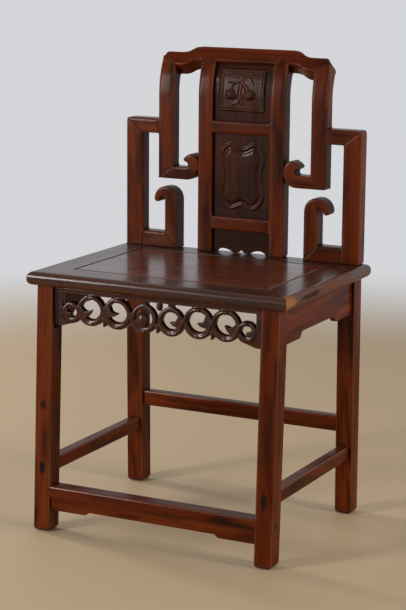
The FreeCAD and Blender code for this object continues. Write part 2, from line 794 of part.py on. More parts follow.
def curved_outline(name, edges):
    """Extrude a front outline with arcs through the whole back."""
    face = Part.Face(Part.Wire([edge.toShape() for edge in edges]))
    face.translate(FreeCAD.Vector(0, back_start() - size("overrun"), 0))
    span = size("back_depth") + size("back_sweep") + 2 * size("overrun")
    return formed(name, face.extrude(FreeCAD.Vector(0, span, 0)))


def across(share):
    """Give a place across the back from its share of half the width."""
    return share * size("back_width") / 2


def crest_lean():
    """Give the fall of the crest's top and underside for each length backward."""
    return size("back_bend_rise") / (bend_radius() - size("back_sweep"))


def leaned(height):
    """Raise a height on the bent front face to where a leaning outline has it on the straight face."""
    rise = max(height - bend_start(), 0)
    return height + crest_lean() * (bend_radius() - math.sqrt(bend_radius() ** 2 - rise ** 2))


def leaning_outline(name, edges):
    """Extrude an outline, drawn on the straight front face, backward and down with the crest's lean."""
    face = Part.Face(Part.Wire(Part.__sortEdges__([edge.toShape() for edge in edges])))
    ahead = size("overrun")
    face.translate(FreeCAD.Vector(0, back_start() - ahead, crest_lean() * ahead))
    span = size("back_depth") + size("back_sweep") + 2 * size("overrun")
    return formed(name, face.extrude(FreeCAD.Vector(0, span, -crest_lean() * span)))


def leaning_boxes(name, boxes, ease, depth):
    """Make front-view rectangles, eased by a clearance, as leaning solids in a layer of the slab."""
    solids = []
    for index, ((left, right), (low, high)) in enumerate(boxes):
        corners = [(left - ease, low - ease), (right + ease, low - ease), (right + ease, high + ease)]
        corners.append((left - ease, high + ease))
        solids.append(leaning_outline(f"{name}_{index}", polygon(corners)))
    whole = solids[0] if len(solids) == 1 else together(f"{name}_set", *solids)
    return overlap(name, whole, depth)


def spot(x, z):
    """Give a point of a front outline."""
    return FreeCAD.Vector(x, 0, z)


def line(first, second):
    """Draw a straight edge between two points given as pairs."""
    return Part.LineSegment(spot(*first), spot(*second))


def polygon(corners):
    """Draw the straight edges of a closed outline."""
    return [line(first, second) for first, second in zip(corners, corners[1:] + corners[:1])]


def arc(first, middle, last):
    """Draw a round edge through three points given as pairs."""
    return Part.Arc(spot(*first), spot(*middle), spot(*last))


def quarter(first, last, centre):
    """Draw a round edge about a centre, the short way from one point to another."""
    x = (first[0] + last[0]) / 2 - centre[0]
    z = (first[1] + last[1]) / 2 - centre[1]
    radius = math.hypot(first[0] - centre[0], first[1] - centre[1])
    stretch = radius / math.hypot(x, z)
    return arc(first, (centre[0] + x * stretch, centre[1] + z * stretch), last)


def ogee(first, last):
    """Draw an S-shaped edge that is level at both ends, as two arcs."""
    length = last[0] - first[0]
    drop = last[1] - first[1]
    middle = (first[0] + length / 2, first[1] + drop / 2)
    radius = (length ** 2 + drop ** 2) / (4 * abs(drop))
    turn = math.atan2(abs(drop), abs(length))
    side = math.copysign(radius * math.sin(turn), length)
    rise = math.copysign(radius * (1 - math.cos(turn)), drop)
    return [
        arc(first, (first[0] + side, first[1] + rise), middle),
        arc(middle, (last[0] - side, last[1] - rise), last),
    ]


# Crest, in heights on the front face that the outlines take with the crest's lean
ROUND_SHARE = math.sqrt(0.5)
LEANED_TOP = f"({BACK_TOP} + dim.overrun)"


def crest_places():
    """Give the heights of the crest: its top and underside in the middle and at its ends."""
    high = size("seat_height") + size("back_height")
    end_high = high - size("crest_drop")
    return {
        "high": high,
        "low": high - size("crest_height"),
        "end_high": end_high,
        "end_low": end_high - size("crest_end_height"),
    }


def crest_mitre_line():
    """Give the inner and outer ends of the mitre between an upper stile and the crest."""
    out = across(UPPER_BACK_SHARE)
    places = crest_places()
    corner = leaned(places["end_high"] - size("crest_corner_round"))
    return [(out - size("upper_stile_width"), leaned(places["end_low"])), (out, corner)]


def spear_line():
    """Give the corners of the point on a splat stile's top, from the inside out."""
    out = across(SPLAT_SHARE)
    width = size("splat_stile_width")
    low = crest_places()["low"]
    tip = leaned(low + size("spear_height"))
    return [(out - width, leaned(low)), (out - width / 2, tip), (out, leaned(low))]


def crest_mitre():
    """Give the width and the leaned heights of the tenon on an upper stile's mitre."""
    middle = across(UPPER_BACK_SHARE) - size("upper_stile_width") / 2
    half = size("back_joint_width") / 2
    cover = size("back_joint_cover")
    low, high = [leaned(crest_places()[name]) - cover for name in ("end_low", "end_high")]
    return (middle - half, middle + half), (low, high)


def splat_top():
    """Give the width and the leaned heights of the tenon on a splat stile's point."""
    middle = across(SPLAT_SHARE) - size("splat_stile_width") / 2
    half = size("back_joint_width") / 2
    low = leaned(crest_places()["low"])
    return (middle - half, middle + half), (low, low + size("back_joint_length"))


def above_crest(name, corners):
    """Make the cut that takes away a stile above a line of joint corners."""
    clear = size("overrun")
    high = leaned(crest_places()["high"]) + crest_lean() * size("back_depth")
    left, right = corners[0], corners[-1]
    outside = [(right[0] + clear, right[1]), (right[0] + clear, high), (left[0] - clear, high)]
    return leaning_outline(name, polygon([*corners, *outside, (left[0] - clear, left[1])]))


def shoulder_outlines():
    """Draw an outer stile and a shoulder rail, which share a rounded corner and its mitre."""
    out = across(1)
    inner = out - size("outer_stile_width")
    seat = size("seat_height")
    high = seat + size("shoulder_height")
    low = high - size("shoulder_rail_height")
    corner = size("shoulder_corner_round")
    centre = (out - corner, high - corner)
    bow = (centre[0] + corner * ROUND_SHARE, centre[1] + corner * ROUND_SHARE)
    stile = [
        line((inner, seat), (out, seat)),
        line((out, seat), (out, centre[1])),
        quarter((out, centre[1]), bow, centre),
        line(bow, (inner, low)),
        line((inner, low), (inner, seat)),
    ]
    end = across(UPPER_BACK_SHARE)
    rail = [
        line((end, low), (inner, low)),
        line((inner, low), bow),
        quarter(bow, (centre[0], high), centre),
        line((centre[0], high), (end, high)),
        line((end, high), (end, low)),
    ]
    return stile, rail


def meander_frame():
    """Make the stepped frame either side of the splat."""
    stile, rail = shoulder_outlines()
    cuts = [mortises("outer_stile_mortises", [shoulder_mitre, foot_end])]
    pair("outer_stile", curved_outline("outer_stile_outline", stile), [stile_foot], cuts)
    pair("shoulder_rail", curved_outline("shoulder_outline", rail), [shoulder_mitre, shoulder_end])
    outline = [(UPPER_OUT, HOOK_LOW), (UPPER_OUT, LEANED_TOP), (UPPER_IN, LEANED_TOP), (UPPER_IN, HOOK_TOP)]
    post = straight_outline("upper_stile_post", outline)
    shape = less("upper_stile_outline", post, above_crest("crest_mitre_cut", crest_mitre_line()))
    cuts = [mortises("upper_stile_mortises", [shoulder_end, hook_mitre])]
    tenon = leaning_boxes("crest_mitre_tenon", [crest_mitre()], 0, tenon_depth)
    pair("upper_stile", shape, (), cuts, tenon)
    outline = [(LOWER_IN, SEAT), (STILE_IN, SEAT), (STILE_IN, FOOT_TOP), (LOWER_OUT, FOOT_TOP)]
    pair("foot_rail", straight_outline("foot_rail_outline", outline), [foot_end, foot_mitre, rail_foot])


def upper_hooks():
    """Make the hooks that run from the upper stiles to the splat and curl up."""
    out = across(UPPER_BACK_SHARE)
    inner = out - size("upper_stile_width")
    touch = across(SPLAT_SHARE) + size("hook_clearance")
    low = size("seat_height") + size("hook_base")
    high = low + size("hook_height")
    top = high + size("hook_rise")
    mouth = size("hook_mouth")
    lip = high + mouth
    tip = touch + HOOK_TIP_SHARE * (inner - touch)
    bend = touch + size("hook_height")
    crown = touch + (tip - touch) / 2
    throat = tip - mouth / 2
    edges = [
        line((inner, high), (out, low)),
        line((out, low), (bend, low)),
        quarter((bend, low), (touch, high), (bend, high)),
        line((touch, high), (touch, lip)),
        quarter((touch, lip), (crown, top), (crown, lip)),
        quarter((crown, top), (tip, lip + mouth / 2), (crown, lip + mouth / 2)),
        quarter((tip, lip + mouth / 2), (throat, lip), (throat, lip + mouth / 2)),
        arc((throat, lip), (throat - mouth / 2, high + mouth / 2), (throat, high)),
        line((throat, high), (inner, high)),
    ]
    pair("upper_hook", curved_outline("hook_outline", edges), [hook_mitre, hook_end])


def lower_scrolls():
    """Make the uprights that stand on the foot rails and curl outward at the top."""
    out = across(LOWER_UPRIGHT_SHARE)
    width = size("lower_upright_width")
    inner = out - width
    seat = size("seat_height")
    foot = seat + size("foot_rail_height")
    top = seat + size("hook_base") - size("lower_scroll_clearance")
    mouth = size("lower_scroll_mouth")
    bulb = size("lower_scroll_bulb")
    tip = out + mouth + bulb
    half = (tip - inner) / 2
    crown = inner + half
    lip = top - half
    edges = [
        line((inner, seat), (inner, lip)),
        quarter((inner, lip), (crown, top), (crown, lip)),
        quarter((crown, top), (tip, lip), (crown, lip)),
        arc((tip, lip), (tip - bulb / 2, lip - bulb / 2), (tip - bulb, lip)),
        arc((tip - bulb, lip), (tip - bulb - mouth / 2, lip + mouth / 2), (out, lip)),
        line((out, lip), (out, foot)),
        line((out, foot), (inner, seat)),
    ]
    cuts = [mortises("lower_scroll_mortises", [foot_mitre])]
    pair("lower_scroll", curved_outline("lower_scroll_outline", edges), (), cuts)


def crest_rail():
    """Make the crest rail, with an ogee at each shoulder and notches for the splat stiles."""
    places = crest_places()
    high, low, end_high, end_low = [leaned(places[name]) for name in ("high", "low", "end_high", "end_low")]
    flat = across(CREST_FLAT_SHARE)
    ogee_end = flat + size("crest_ogee_length")
    (inner, mitre_low), (out, mitre_high) = crest_mitre_line()
    corner = size("crest_corner_round")
    splat_in, middle, splat_out = spear_line()
    half = [*ogee((flat, high), (ogee_end, end_high))]
    half.append(line((ogee_end, end_high), (out - corner, end_high)))
    rise = end_high - mitre_high
    bow = (out - corner * (1 - ROUND_SHARE), mitre_high + rise * ROUND_SHARE)
    half.append(arc((out - corner, end_high), bow, (out, mitre_high)))
    half.append(line((out, mitre_high), (inner, mitre_low)))
    if inner > ogee_end:
        half.append(line((inner, end_low), (ogee_end, end_low)))
    half += ogee((min(inner, ogee_end), end_low), (flat, low))
    half.append(line((flat, low), splat_out))
    half.append(line(splat_out, middle))
    half.append(line(middle, splat_in))
    other = [edge.toShape().mirror(FreeCAD.Vector(0, 0, 0), FreeCAD.Vector(1, 0, 0)) for edge in half]
    ends = [line((-flat, high), (flat, high)), line((-splat_in[0], low), splat_in)]
    other = [edge.Curve.trim(*edge.ParameterRange) for edge in other]
    outline = leaning_outline("crest_outline", [*half, *ends, *other])
    joints = [crest_mitre(), splat_top()]
    joints += [((-right, -left), heights) for (left, right), heights in joints]
    cuts = [
        leaning_boxes("crest_mortises", joints, size("fit"), mortise_depth),
        grooves("crest_groove", upper_panel_z),
    ]
    piece(member("crest_rail", outline, (), cuts))


def splat():
    """Make the splat: two stiles, two rails, two panels and a scalloped foot."""
    post = block("splat_stile_post", (SPLAT_IN, SPLAT_OUT), back_span, (SEAT, LEANED_TOP))
    shape = less("splat_stile_outline", post, above_crest("spear_cut", spear_line()))
    tenon = leaning_boxes("splat_top_tenon", [splat_top()], 0, tenon_depth)
    cuts = [
        mortises("splat_stile_mortises", [hook_end, middle_end, lower_end]),
        grooves("splat_stile_grooves", upper_panel_z, lower_panel_z, foot_panel_z),
    ]
    pair("splat_stile", shape, [splat_foot], cuts, tenon)
    between = (f"-{SPLAT_IN}", SPLAT_IN)
    rail = block("splat_middle_outline", between, back_span, (MIDDLE_LOW, MIDDLE_TOP))
    cuts = [grooves("splat_middle_grooves", upper_panel_z, lower_panel_z)]
    piece(member("splat_middle_rail", rail, [middle_end], cuts))
    rail = block("splat_lower_outline", between, back_span, (LOWER_LOW, LOWER_TOP))
    cuts = [grooves("splat_lower_grooves", lower_panel_z, foot_panel_z)]
    piece(member("splat_lower_rail", rail, [lower_end], cuts))
    ground = sawn("upper_panel_ground", [(panel_x, upper_panel_z)], panel_depth)
    tablet_z = (f"{MIDDLE_TOP} + dim.tablet_margin", f"{CREST_LOW} - dim.tablet_top_margin")
    tablet_x = both("0", f"{TABLET_SHARE} * 2 * {SPLAT_IN}")
    tablet = sawn("upper_panel_tablet", [(tablet_x, tablet_z)], tablet_depth)
    piece(together("splat_upper_panel", ground, tablet))
    ground = sawn("lower_panel_ground", [(panel_x, lower_panel_z)], panel_depth)
    piece(together("splat_lower_panel", ground, overlap("cartouche", cartouche_outline(), cartouche_depth)))
    splat_foot_panel()


def cartouche_outline():
    """Draw the lobed cartouche of the lower panel as one smooth closed line."""
    half = across(SPLAT_SHARE) - size("splat_stile_width")
    low = size("seat_height") + size("splat_lower_base") + size("splat_lower_height")
    tall = (size("seat_height") + size("splat_middle_base") - low) / 2
    right = [spot(half * u, low + tall + tall * v) for u, v in CARTOUCHE_SHARES]
    left = [FreeCAD.Vector(-place.x, place.y, place.z) for place in reversed(right[1:-1])]
    line_round = Part.BSplineCurve()
    line_round.interpolate(right + left, PeriodicFlag=True)
    return curved_outline("cartouche_outline", [line_round])


def splat_foot_panel():
    """Make the scalloped foot of the splat, which hangs just clear of the seat."""
    half = across(SPLAT_SHARE) - size("splat_stile_width")
    side = half + size("panel_tongue")
    low = size("seat_height") + size("splat_apron_gap")
    arch = size("splat_apron_arch")
    top = size("seat_height") + size("splat_lower_base") + size("panel_tongue")
    foot = half - size("splat_apron_foot")
    right = [line((side, top), (side, low)), line((side, low), (foot, low))]
    last = (foot, low)
    for through_shares, end_shares in SPLAT_FOOT_SHARES:
        middle, end = [(half * u, low + arch * v) for u, v in (through_shares, end_shares)]
        right.append(arc(last, middle, end))
        last = end
    right.append(line(last, (0, low + arch * SPLAT_FOOT_NOTCH_SHARE)))
    left = [edge.toShape().mirror(FreeCAD.Vector(0, 0, 0), FreeCAD.Vector(1, 0, 0)) for edge in right]
    shapes = [line((-side, top), (side, top)).toShape(), *[edge.toShape() for edge in right], *left]
    wire = Part.Wire(Part.__sortEdges__(shapes))
    edges = [edge.Curve.trim(*edge.ParameterRange) for edge in wire.Edges]
    outline = curved_outline("splat_foot_outline", edges)
    foot_panel = overlap("splat_apron", outline, panel_depth)
    piece(foot_panel)


# Seat
def seat_bar(name, plan, outer, groove, mitres):
    """Make one seat rail: a bar with its outer edge rounded, grooved and mitred at both ends."""
    bar = block(f"seat_{name}_bar", *plan, (UNDER, SEAT))
    doc.recompute()
    box = bar.Shape.BoundBox
    rounded = doc.addObject("Part::Fillet", f"seat_{name}_rounded")
    rounded.Base = bar
    radius = size("seat_edge_round")
    edges = []
    axis = outer[0]
    for index, edge in enumerate(bar.Shape.Edges, start=1):
        level = edge.BoundBox.ZLength < radius
        low, high = getattr(edge.BoundBox, axis + "Min"), getattr(edge.BoundBox, axis + "Max")
        outside = max(abs(low - getattr(box, outer)), abs(high - getattr(box, outer))) < radius
        if level and outside:
            edges.append((index, radius, radius))
    rounded.Edges = edges
    grooved = less(f"seat_{name}_grooved", rounded, groove)
    wedge = prism(f"seat_{name}_wedge", "top", mitres, *through((UNDER, SEAT)))
    return overlap(f"seat_{name}_length", grooved, wedge)


def seat_frame():
    """Make the mitred seat frame: four rails with a rounded edge and a groove for the panel."""
    depth = "(dim.seat_tongue_length + dim.seat_panel_gap)"
    low = f"{SEAT} - dim.seat_panel_thickness"
    groove = block(
        "seat_groove",
        (f"-{OPENING_X} - {depth}", f"{OPENING_X} + {depth}"),
        (f"{OPENING_FRONT} - {depth}", f"{OPENING_BACK} + {depth}"),
        eased((low, f"{low} + dim.seat_tongue_thickness")),
    )
    whole = (f"-{SEAT_X}", SEAT_X)
    sides = {
        "front": seat_bar(
            "front", (whole, (SEAT_FRONT, OPENING_FRONT)), "YMin", groove,
            [
                (f"-{SEAT_X}", SEAT_FRONT), (SEAT_X, SEAT_FRONT), (OPENING_X, OPENING_FRONT),
                (f"-{OPENING_X}", OPENING_FRONT),
            ],
        ),
        "back": seat_bar(
            "back", (whole, (OPENING_BACK, SEAT_BACK)), "YMax", groove,
            [
                (f"-{OPENING_X}", OPENING_BACK), (OPENING_X, OPENING_BACK), (SEAT_X, SEAT_BACK),
                (f"-{SEAT_X}", SEAT_BACK),
            ],
        ),
        "right": seat_bar(
            "right", ((OPENING_X, SEAT_X), (SEAT_FRONT, SEAT_BACK)), "XMax", groove,
            [
                (OPENING_X, OPENING_FRONT), (SEAT_X, SEAT_FRONT), (SEAT_X, SEAT_BACK),
                (OPENING_X, OPENING_BACK),
            ],
        ),
    }
    leg_side = f"({LEG_MIDDLE} - dim.leg_tenon_width / 2 - dim.mitre_tenon_gap)"
    tongue_x = (f"{leg_side} - dim.mitre_tenon_width", leg_side)
    tongue_z = both(f"({UNDER} + {SEAT}) / 2", "dim.mitre_tenon_thickness")
    tongue_y = (f"{SEAT_FRONT} + dim.mitre_tenon_cover", f"{SEAT_BACK} - dim.mitre_tenon_cover")
    tongue = block("seat_mitre_tenon", tongue_x, tongue_y, tongue_z)
    slot = block("seat_mitre_mortise", eased(tongue_x), eased(tongue_y), eased(tongue_z))
    slots = [slot, mirrored("seat_mitre_mortise_left", slot)]
    sockets = {}
    for name, outer, inner in (("front", front_outer, front_inner), ("back", back_outer, back_inner)):
        x, y, z = leg_tenon(outer, inner)
        socket_z = (f"{z[0]} - dim.overrun", f"{z[1]} + dim.fit")
        socket = block(f"seat_{name}_socket", eased(x), eased(y), socket_z)
        sockets[name] = [socket, mirrored(f"seat_{name}_socket_left", socket)]
    feet = mortises("seat_back_sockets", [stile_foot, splat_foot, rail_foot])
    feet_left = mirrored("seat_back_sockets_left", feet)
    batten_z = batten_places()[1]
    batten_y = batten_tenon_y()
    batten_x = both("dim.batten_place", "dim.batten_tenon_width")
    holes = block("batten_mortise", eased(batten_x), eased(batten_y), eased(batten_z))
    battens = [holes, mirrored("batten_mortise_left", holes)]
    piece(less("seat_front_rail", sides["front"], *slots, *sockets["front"], *battens))
    piece(less("seat_back_rail", sides["back"], *slots, *sockets["back"], *battens, feet, feet_left))
    tenoned = together("seat_right_tenoned", sides["right"], tongue)
    right = piece(less("seat_right_rail", tenoned, sockets["front"][0], sockets["back"][0], feet))
    piece(mirrored("seat_left_rail", right))


def batten_places():
    """Give the pairs of planes of a batten: its tenon's height is inside its own."""
    top = f"({SEAT} - dim.seat_panel_thickness)"
    bottom = f"({top} - dim.batten_height)"
    tenon_z = both(f"{bottom} + dim.batten_height / 2", "dim.batten_tenon_height")
    return both("dim.batten_place", "dim.batten_width"), tenon_z, (bottom, top)


def batten_tenon_y():
    """Give the pair of planes at the ends of a batten's tenons."""
    return f"{OPENING_FRONT} - dim.batten_tenon_length", f"{OPENING_BACK} + dim.batten_tenon_length"


def seat_panel():
    """Make the seat panel, with a tongue all round, and the two battens below it."""
    gap = "dim.seat_panel_gap"
    low = f"({SEAT} - dim.seat_panel_thickness)"
    field = block(
        "seat_field",
        (f"-{OPENING_X} + {gap}", f"{OPENING_X} - {gap}"),
        (f"{OPENING_FRONT} + {gap}", f"{OPENING_BACK} - {gap}"),
        (low, SEAT),
    )
    length = "dim.seat_tongue_length"
    tongue = block(
        "seat_tongue",
        (f"-{OPENING_X} - {length}", f"{OPENING_X} + {length}"),
        (f"{OPENING_FRONT} - {length}", f"{OPENING_BACK} + {length}"),
        (low, f"{low} + dim.seat_tongue_thickness"),
    )
    piece(together("seat_panel", field, tongue))
    x, tenon_z, z = batten_places()
    bar = block("batten_bar", x, (OPENING_FRONT, OPENING_BACK), z)
    tenon_x = both("dim.batten_place", "dim.batten_tenon_width")
    tenon = block("batten_tenon", tenon_x, batten_tenon_y(), tenon_z)
    right = piece(together("seat_right_batten", bar, tenon))
    piece(mirrored("seat_left_batten", right))


stretchers()
plain_aprons()
front_apron()
legs()
meander_frame()
upper_hooks()
lower_scrolls()
crest_rail()
splat()
seat_frame()
seat_panel()
doc.recompute()

for item in doc.Objects:
    if "Invalid" in item.State or "Error" in item.State:
        raise RuntimeError(f"{item.Name} failed: {item.State}")
for item in pieces:
    if item.Shape.isNull() or not item.Shape.isValid() or not item.Shape.Solids:
        raise RuntimeError(f"{item.Label} has no valid solid")

os.makedirs("parts", exist_ok=True)
for item in pieces:
    item.Shape.exportStep(f"parts/{item.Label}.step")
print(len(pieces), "pieces written")
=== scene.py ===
import logging
import math
from abc import ABC, abstractmethod
from dataclasses import dataclass, field, replace
from enum import Enum
from itertools import groupby, product
from typing import Any, ClassVar, Iterable, Sequence

import bmesh
import bpy
import numpy as np
from mathutils import Matrix, Vector
from mathutils.bvhtree import BVHTree


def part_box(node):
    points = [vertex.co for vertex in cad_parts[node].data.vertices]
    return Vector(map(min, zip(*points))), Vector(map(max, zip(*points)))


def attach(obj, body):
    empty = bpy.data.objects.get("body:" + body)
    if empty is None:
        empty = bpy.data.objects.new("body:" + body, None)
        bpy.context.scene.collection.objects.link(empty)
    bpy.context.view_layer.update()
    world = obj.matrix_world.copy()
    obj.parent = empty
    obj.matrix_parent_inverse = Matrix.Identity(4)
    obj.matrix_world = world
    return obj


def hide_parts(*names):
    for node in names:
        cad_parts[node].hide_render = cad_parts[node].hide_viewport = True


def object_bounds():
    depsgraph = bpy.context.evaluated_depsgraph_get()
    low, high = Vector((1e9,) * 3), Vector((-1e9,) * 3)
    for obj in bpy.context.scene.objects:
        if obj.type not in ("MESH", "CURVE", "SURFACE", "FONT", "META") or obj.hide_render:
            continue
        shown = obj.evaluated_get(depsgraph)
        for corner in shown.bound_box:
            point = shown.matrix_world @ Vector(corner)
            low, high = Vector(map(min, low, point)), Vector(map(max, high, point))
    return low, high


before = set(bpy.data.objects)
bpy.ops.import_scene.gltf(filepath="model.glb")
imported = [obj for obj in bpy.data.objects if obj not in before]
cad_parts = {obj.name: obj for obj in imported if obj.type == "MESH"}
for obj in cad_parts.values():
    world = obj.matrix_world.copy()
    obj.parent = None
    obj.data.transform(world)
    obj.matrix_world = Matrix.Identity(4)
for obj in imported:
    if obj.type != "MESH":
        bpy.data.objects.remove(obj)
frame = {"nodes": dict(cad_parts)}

CAD_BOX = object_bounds()
BODY = "root"
LOG = logging.getLogger("chair")

Colour = tuple[float, float, float]
Place = tuple[float, float, float]
Point = tuple[float, float]
SIDES = ("left", "right")
ENDS = ("front", "back")
FLOW_STEPS = 10


class Slot(Enum):
    """Material slots of the record."""

    FRAME = "frame_hardwood"
    PANEL = "panel_hardwood"
    CARVED = "carved_hardwood"


class Grain(Enum):
    """The way the grain of a piece runs, as an axis of the frame."""

    ACROSS = 0
    FORE_AND_AFT = 1
    UPRIGHT = 2


def opaque(colour: Colour) -> tuple[float, ...]:
    """Give a colour with nothing seen through it."""
    return (*colour, 1.0)


def placed(name: str, data: bpy.types.ID) -> bpy.types.Object:
    """Put a mesh, a lamp or a camera into the scene.

    Args:
        name: name of the new object.
        data: what it shows.

    Returns:
        The object.
    """
    made = bpy.data.objects.new(name, data)
    bpy.context.scene.collection.objects.link(made)
    return made


class Socket:
    """A shader value; sums and products of it add their own Math nodes."""

    def __init__(self, graph: "Graph", output: bpy.types.NodeSocket) -> None:
        """Wrap one output of a node."""
        self.graph = graph
        self.output = output

    def _math(self, operation: str, *terms: Any) -> "Socket":
        """Add one Math node over the given terms."""
        inputs = dict(enumerate(terms))
        return self.graph.node("ShaderNodeMath", {"operation": operation}, inputs)

    def __add__(self, other: Any) -> "Socket":
        """Add a value."""
        return self._math("ADD", self, other)

    def __radd__(self, other: Any) -> "Socket":
        """Be added to a number."""
        return self._math("ADD", other, self)

    def __sub__(self, other: Any) -> "Socket":
        """Take a value away."""
        return self._math("SUBTRACT", self, other)

    def __rsub__(self, other: Any) -> "Socket":
        """Be taken away from a number."""
        return self._math("SUBTRACT", other, self)

    def __mul__(self, other: Any) -> "Socket":
        """Multiply by a value."""
        return self._math("MULTIPLY", self, other)

    def __rmul__(self, other: Any) -> "Socket":
        """Multiply a number."""
        return self._math("MULTIPLY", other, self)

    def folded(self) -> "Socket":
        """Fold the value back and forth between 0 and 1."""
        return self._math("PINGPONG", self, 1.0)

    def size(self) -> "Socket":
        """Give the value without its sign."""
        return self._math("ABSOLUTE", self)

    def between(self, low: float, high: float) -> "Socket":
        """Spread a span of the value smoothly over 0 to 1.

        Args:
            low: value that becomes 0.
            high: value that becomes 1.

        Returns:
            The spread value.
        """
        settings = {"interpolation_type": "SMOOTHSTEP"}
        inputs = {"Value": self, "From Min": low, "From Max": high}
        return self.graph.node("ShaderNodeMapRange", settings, inputs, "Result")


@dataclass(frozen=True)
class Cloud:
    """A noise: its repeats per metre, octaves and twist, and the span of it that is spread over 0 to 1."""

    scale: float
    detail: float
    warp: float = 0.0
    span: Point | None = None

    MIDDLE: ClassVar[float] = 0.5


class Graph:
    """The node tree of one material or of the world."""

    MIX_COLOURS: ClassVar[tuple[int, int]] = (6, 7)
    MIX_RESULT: ClassVar[int] = 2

    def __init__(self, owner: bpy.types.ID) -> None:
        """Start with an empty tree.

        Args:
            owner: material or world that the tree belongs to.
        """
        owner.use_nodes = True
        self.tree = owner.node_tree
        self.tree.nodes.clear()

    def node(self, kind: str, settings: dict[str, Any], inputs: dict[Any, Any], out: Any = 0) -> Socket:
        """Add one node.

        Args:
            kind: Blender's name of the node type.
            settings: attributes of the node, which are set first.
            inputs: values or links of the node's sockets, by name or number.
            out: name or number of the output that is wanted.

        Returns:
            That output.
        """
        made = self.tree.nodes.new(kind)
        for name, value in settings.items():
            setattr(made, name, value)
        for name, value in inputs.items():
            if isinstance(value, Socket):
                self.tree.links.new(value.output, made.inputs[name])
            else:
                made.inputs[name].default_value = value
        return Socket(self, made.outputs[out] if made.outputs else None)

    def vector(self, operation: str, first: Any, second: Any) -> Socket:
        """Work out one vector from two."""
        return self.node("ShaderNodeVectorMath", {"operation": operation}, {0: first, 1: second})

    def length(self, way: Socket) -> Socket:
        """Measure how long a vector is."""
        return self.node("ShaderNodeVectorMath", {"operation": "LENGTH"}, {0: way}, "Value")

    def place(self) -> Socket:
        """Give the coordinates of the object."""
        return self.node("ShaderNodeTexCoord", {}, {}, "Object")

    def blend(self, first: Any, second: Any, share: Any) -> Socket:
        """Mix two colours.

        Args:
            first: colour at share 0.
            second: colour at share 1.
            share: how much of the second.

        Returns:
            The mixed colour.
        """
        inputs: dict[Any, Any] = {0: share}
        for number, colour in zip(self.MIX_COLOURS, (first, second)):
            inputs[number] = colour if isinstance(colour, Socket) else opaque(colour)
        settings = {"data_type": "RGBA", "blend_type": "MIX"}
        return self.node("ShaderNodeMix", settings, inputs, self.MIX_RESULT)

    def noise(self, place: Socket, cloud: Cloud) -> Socket:
        """Add a noise texture.

        Args:
            place: coordinates.
            cloud: the noise.

        Returns:
            The noise from 0 to 1.
        """
        inputs = {"Vector": place, "Scale": cloud.scale, "Detail": cloud.detail, "Distortion": cloud.warp}
        plain = self.node("ShaderNodeTexNoise", {}, inputs, "Fac")
        return plain.between(*cloud.span) if cloud.span else plain


@dataclass(frozen=True)
class Mark:
    """A spot where the polish is worn through or stained: its place, its reach each way and its colour."""

    place: Place
    reach: Place
    colour: Colour
    share: float = 0.85


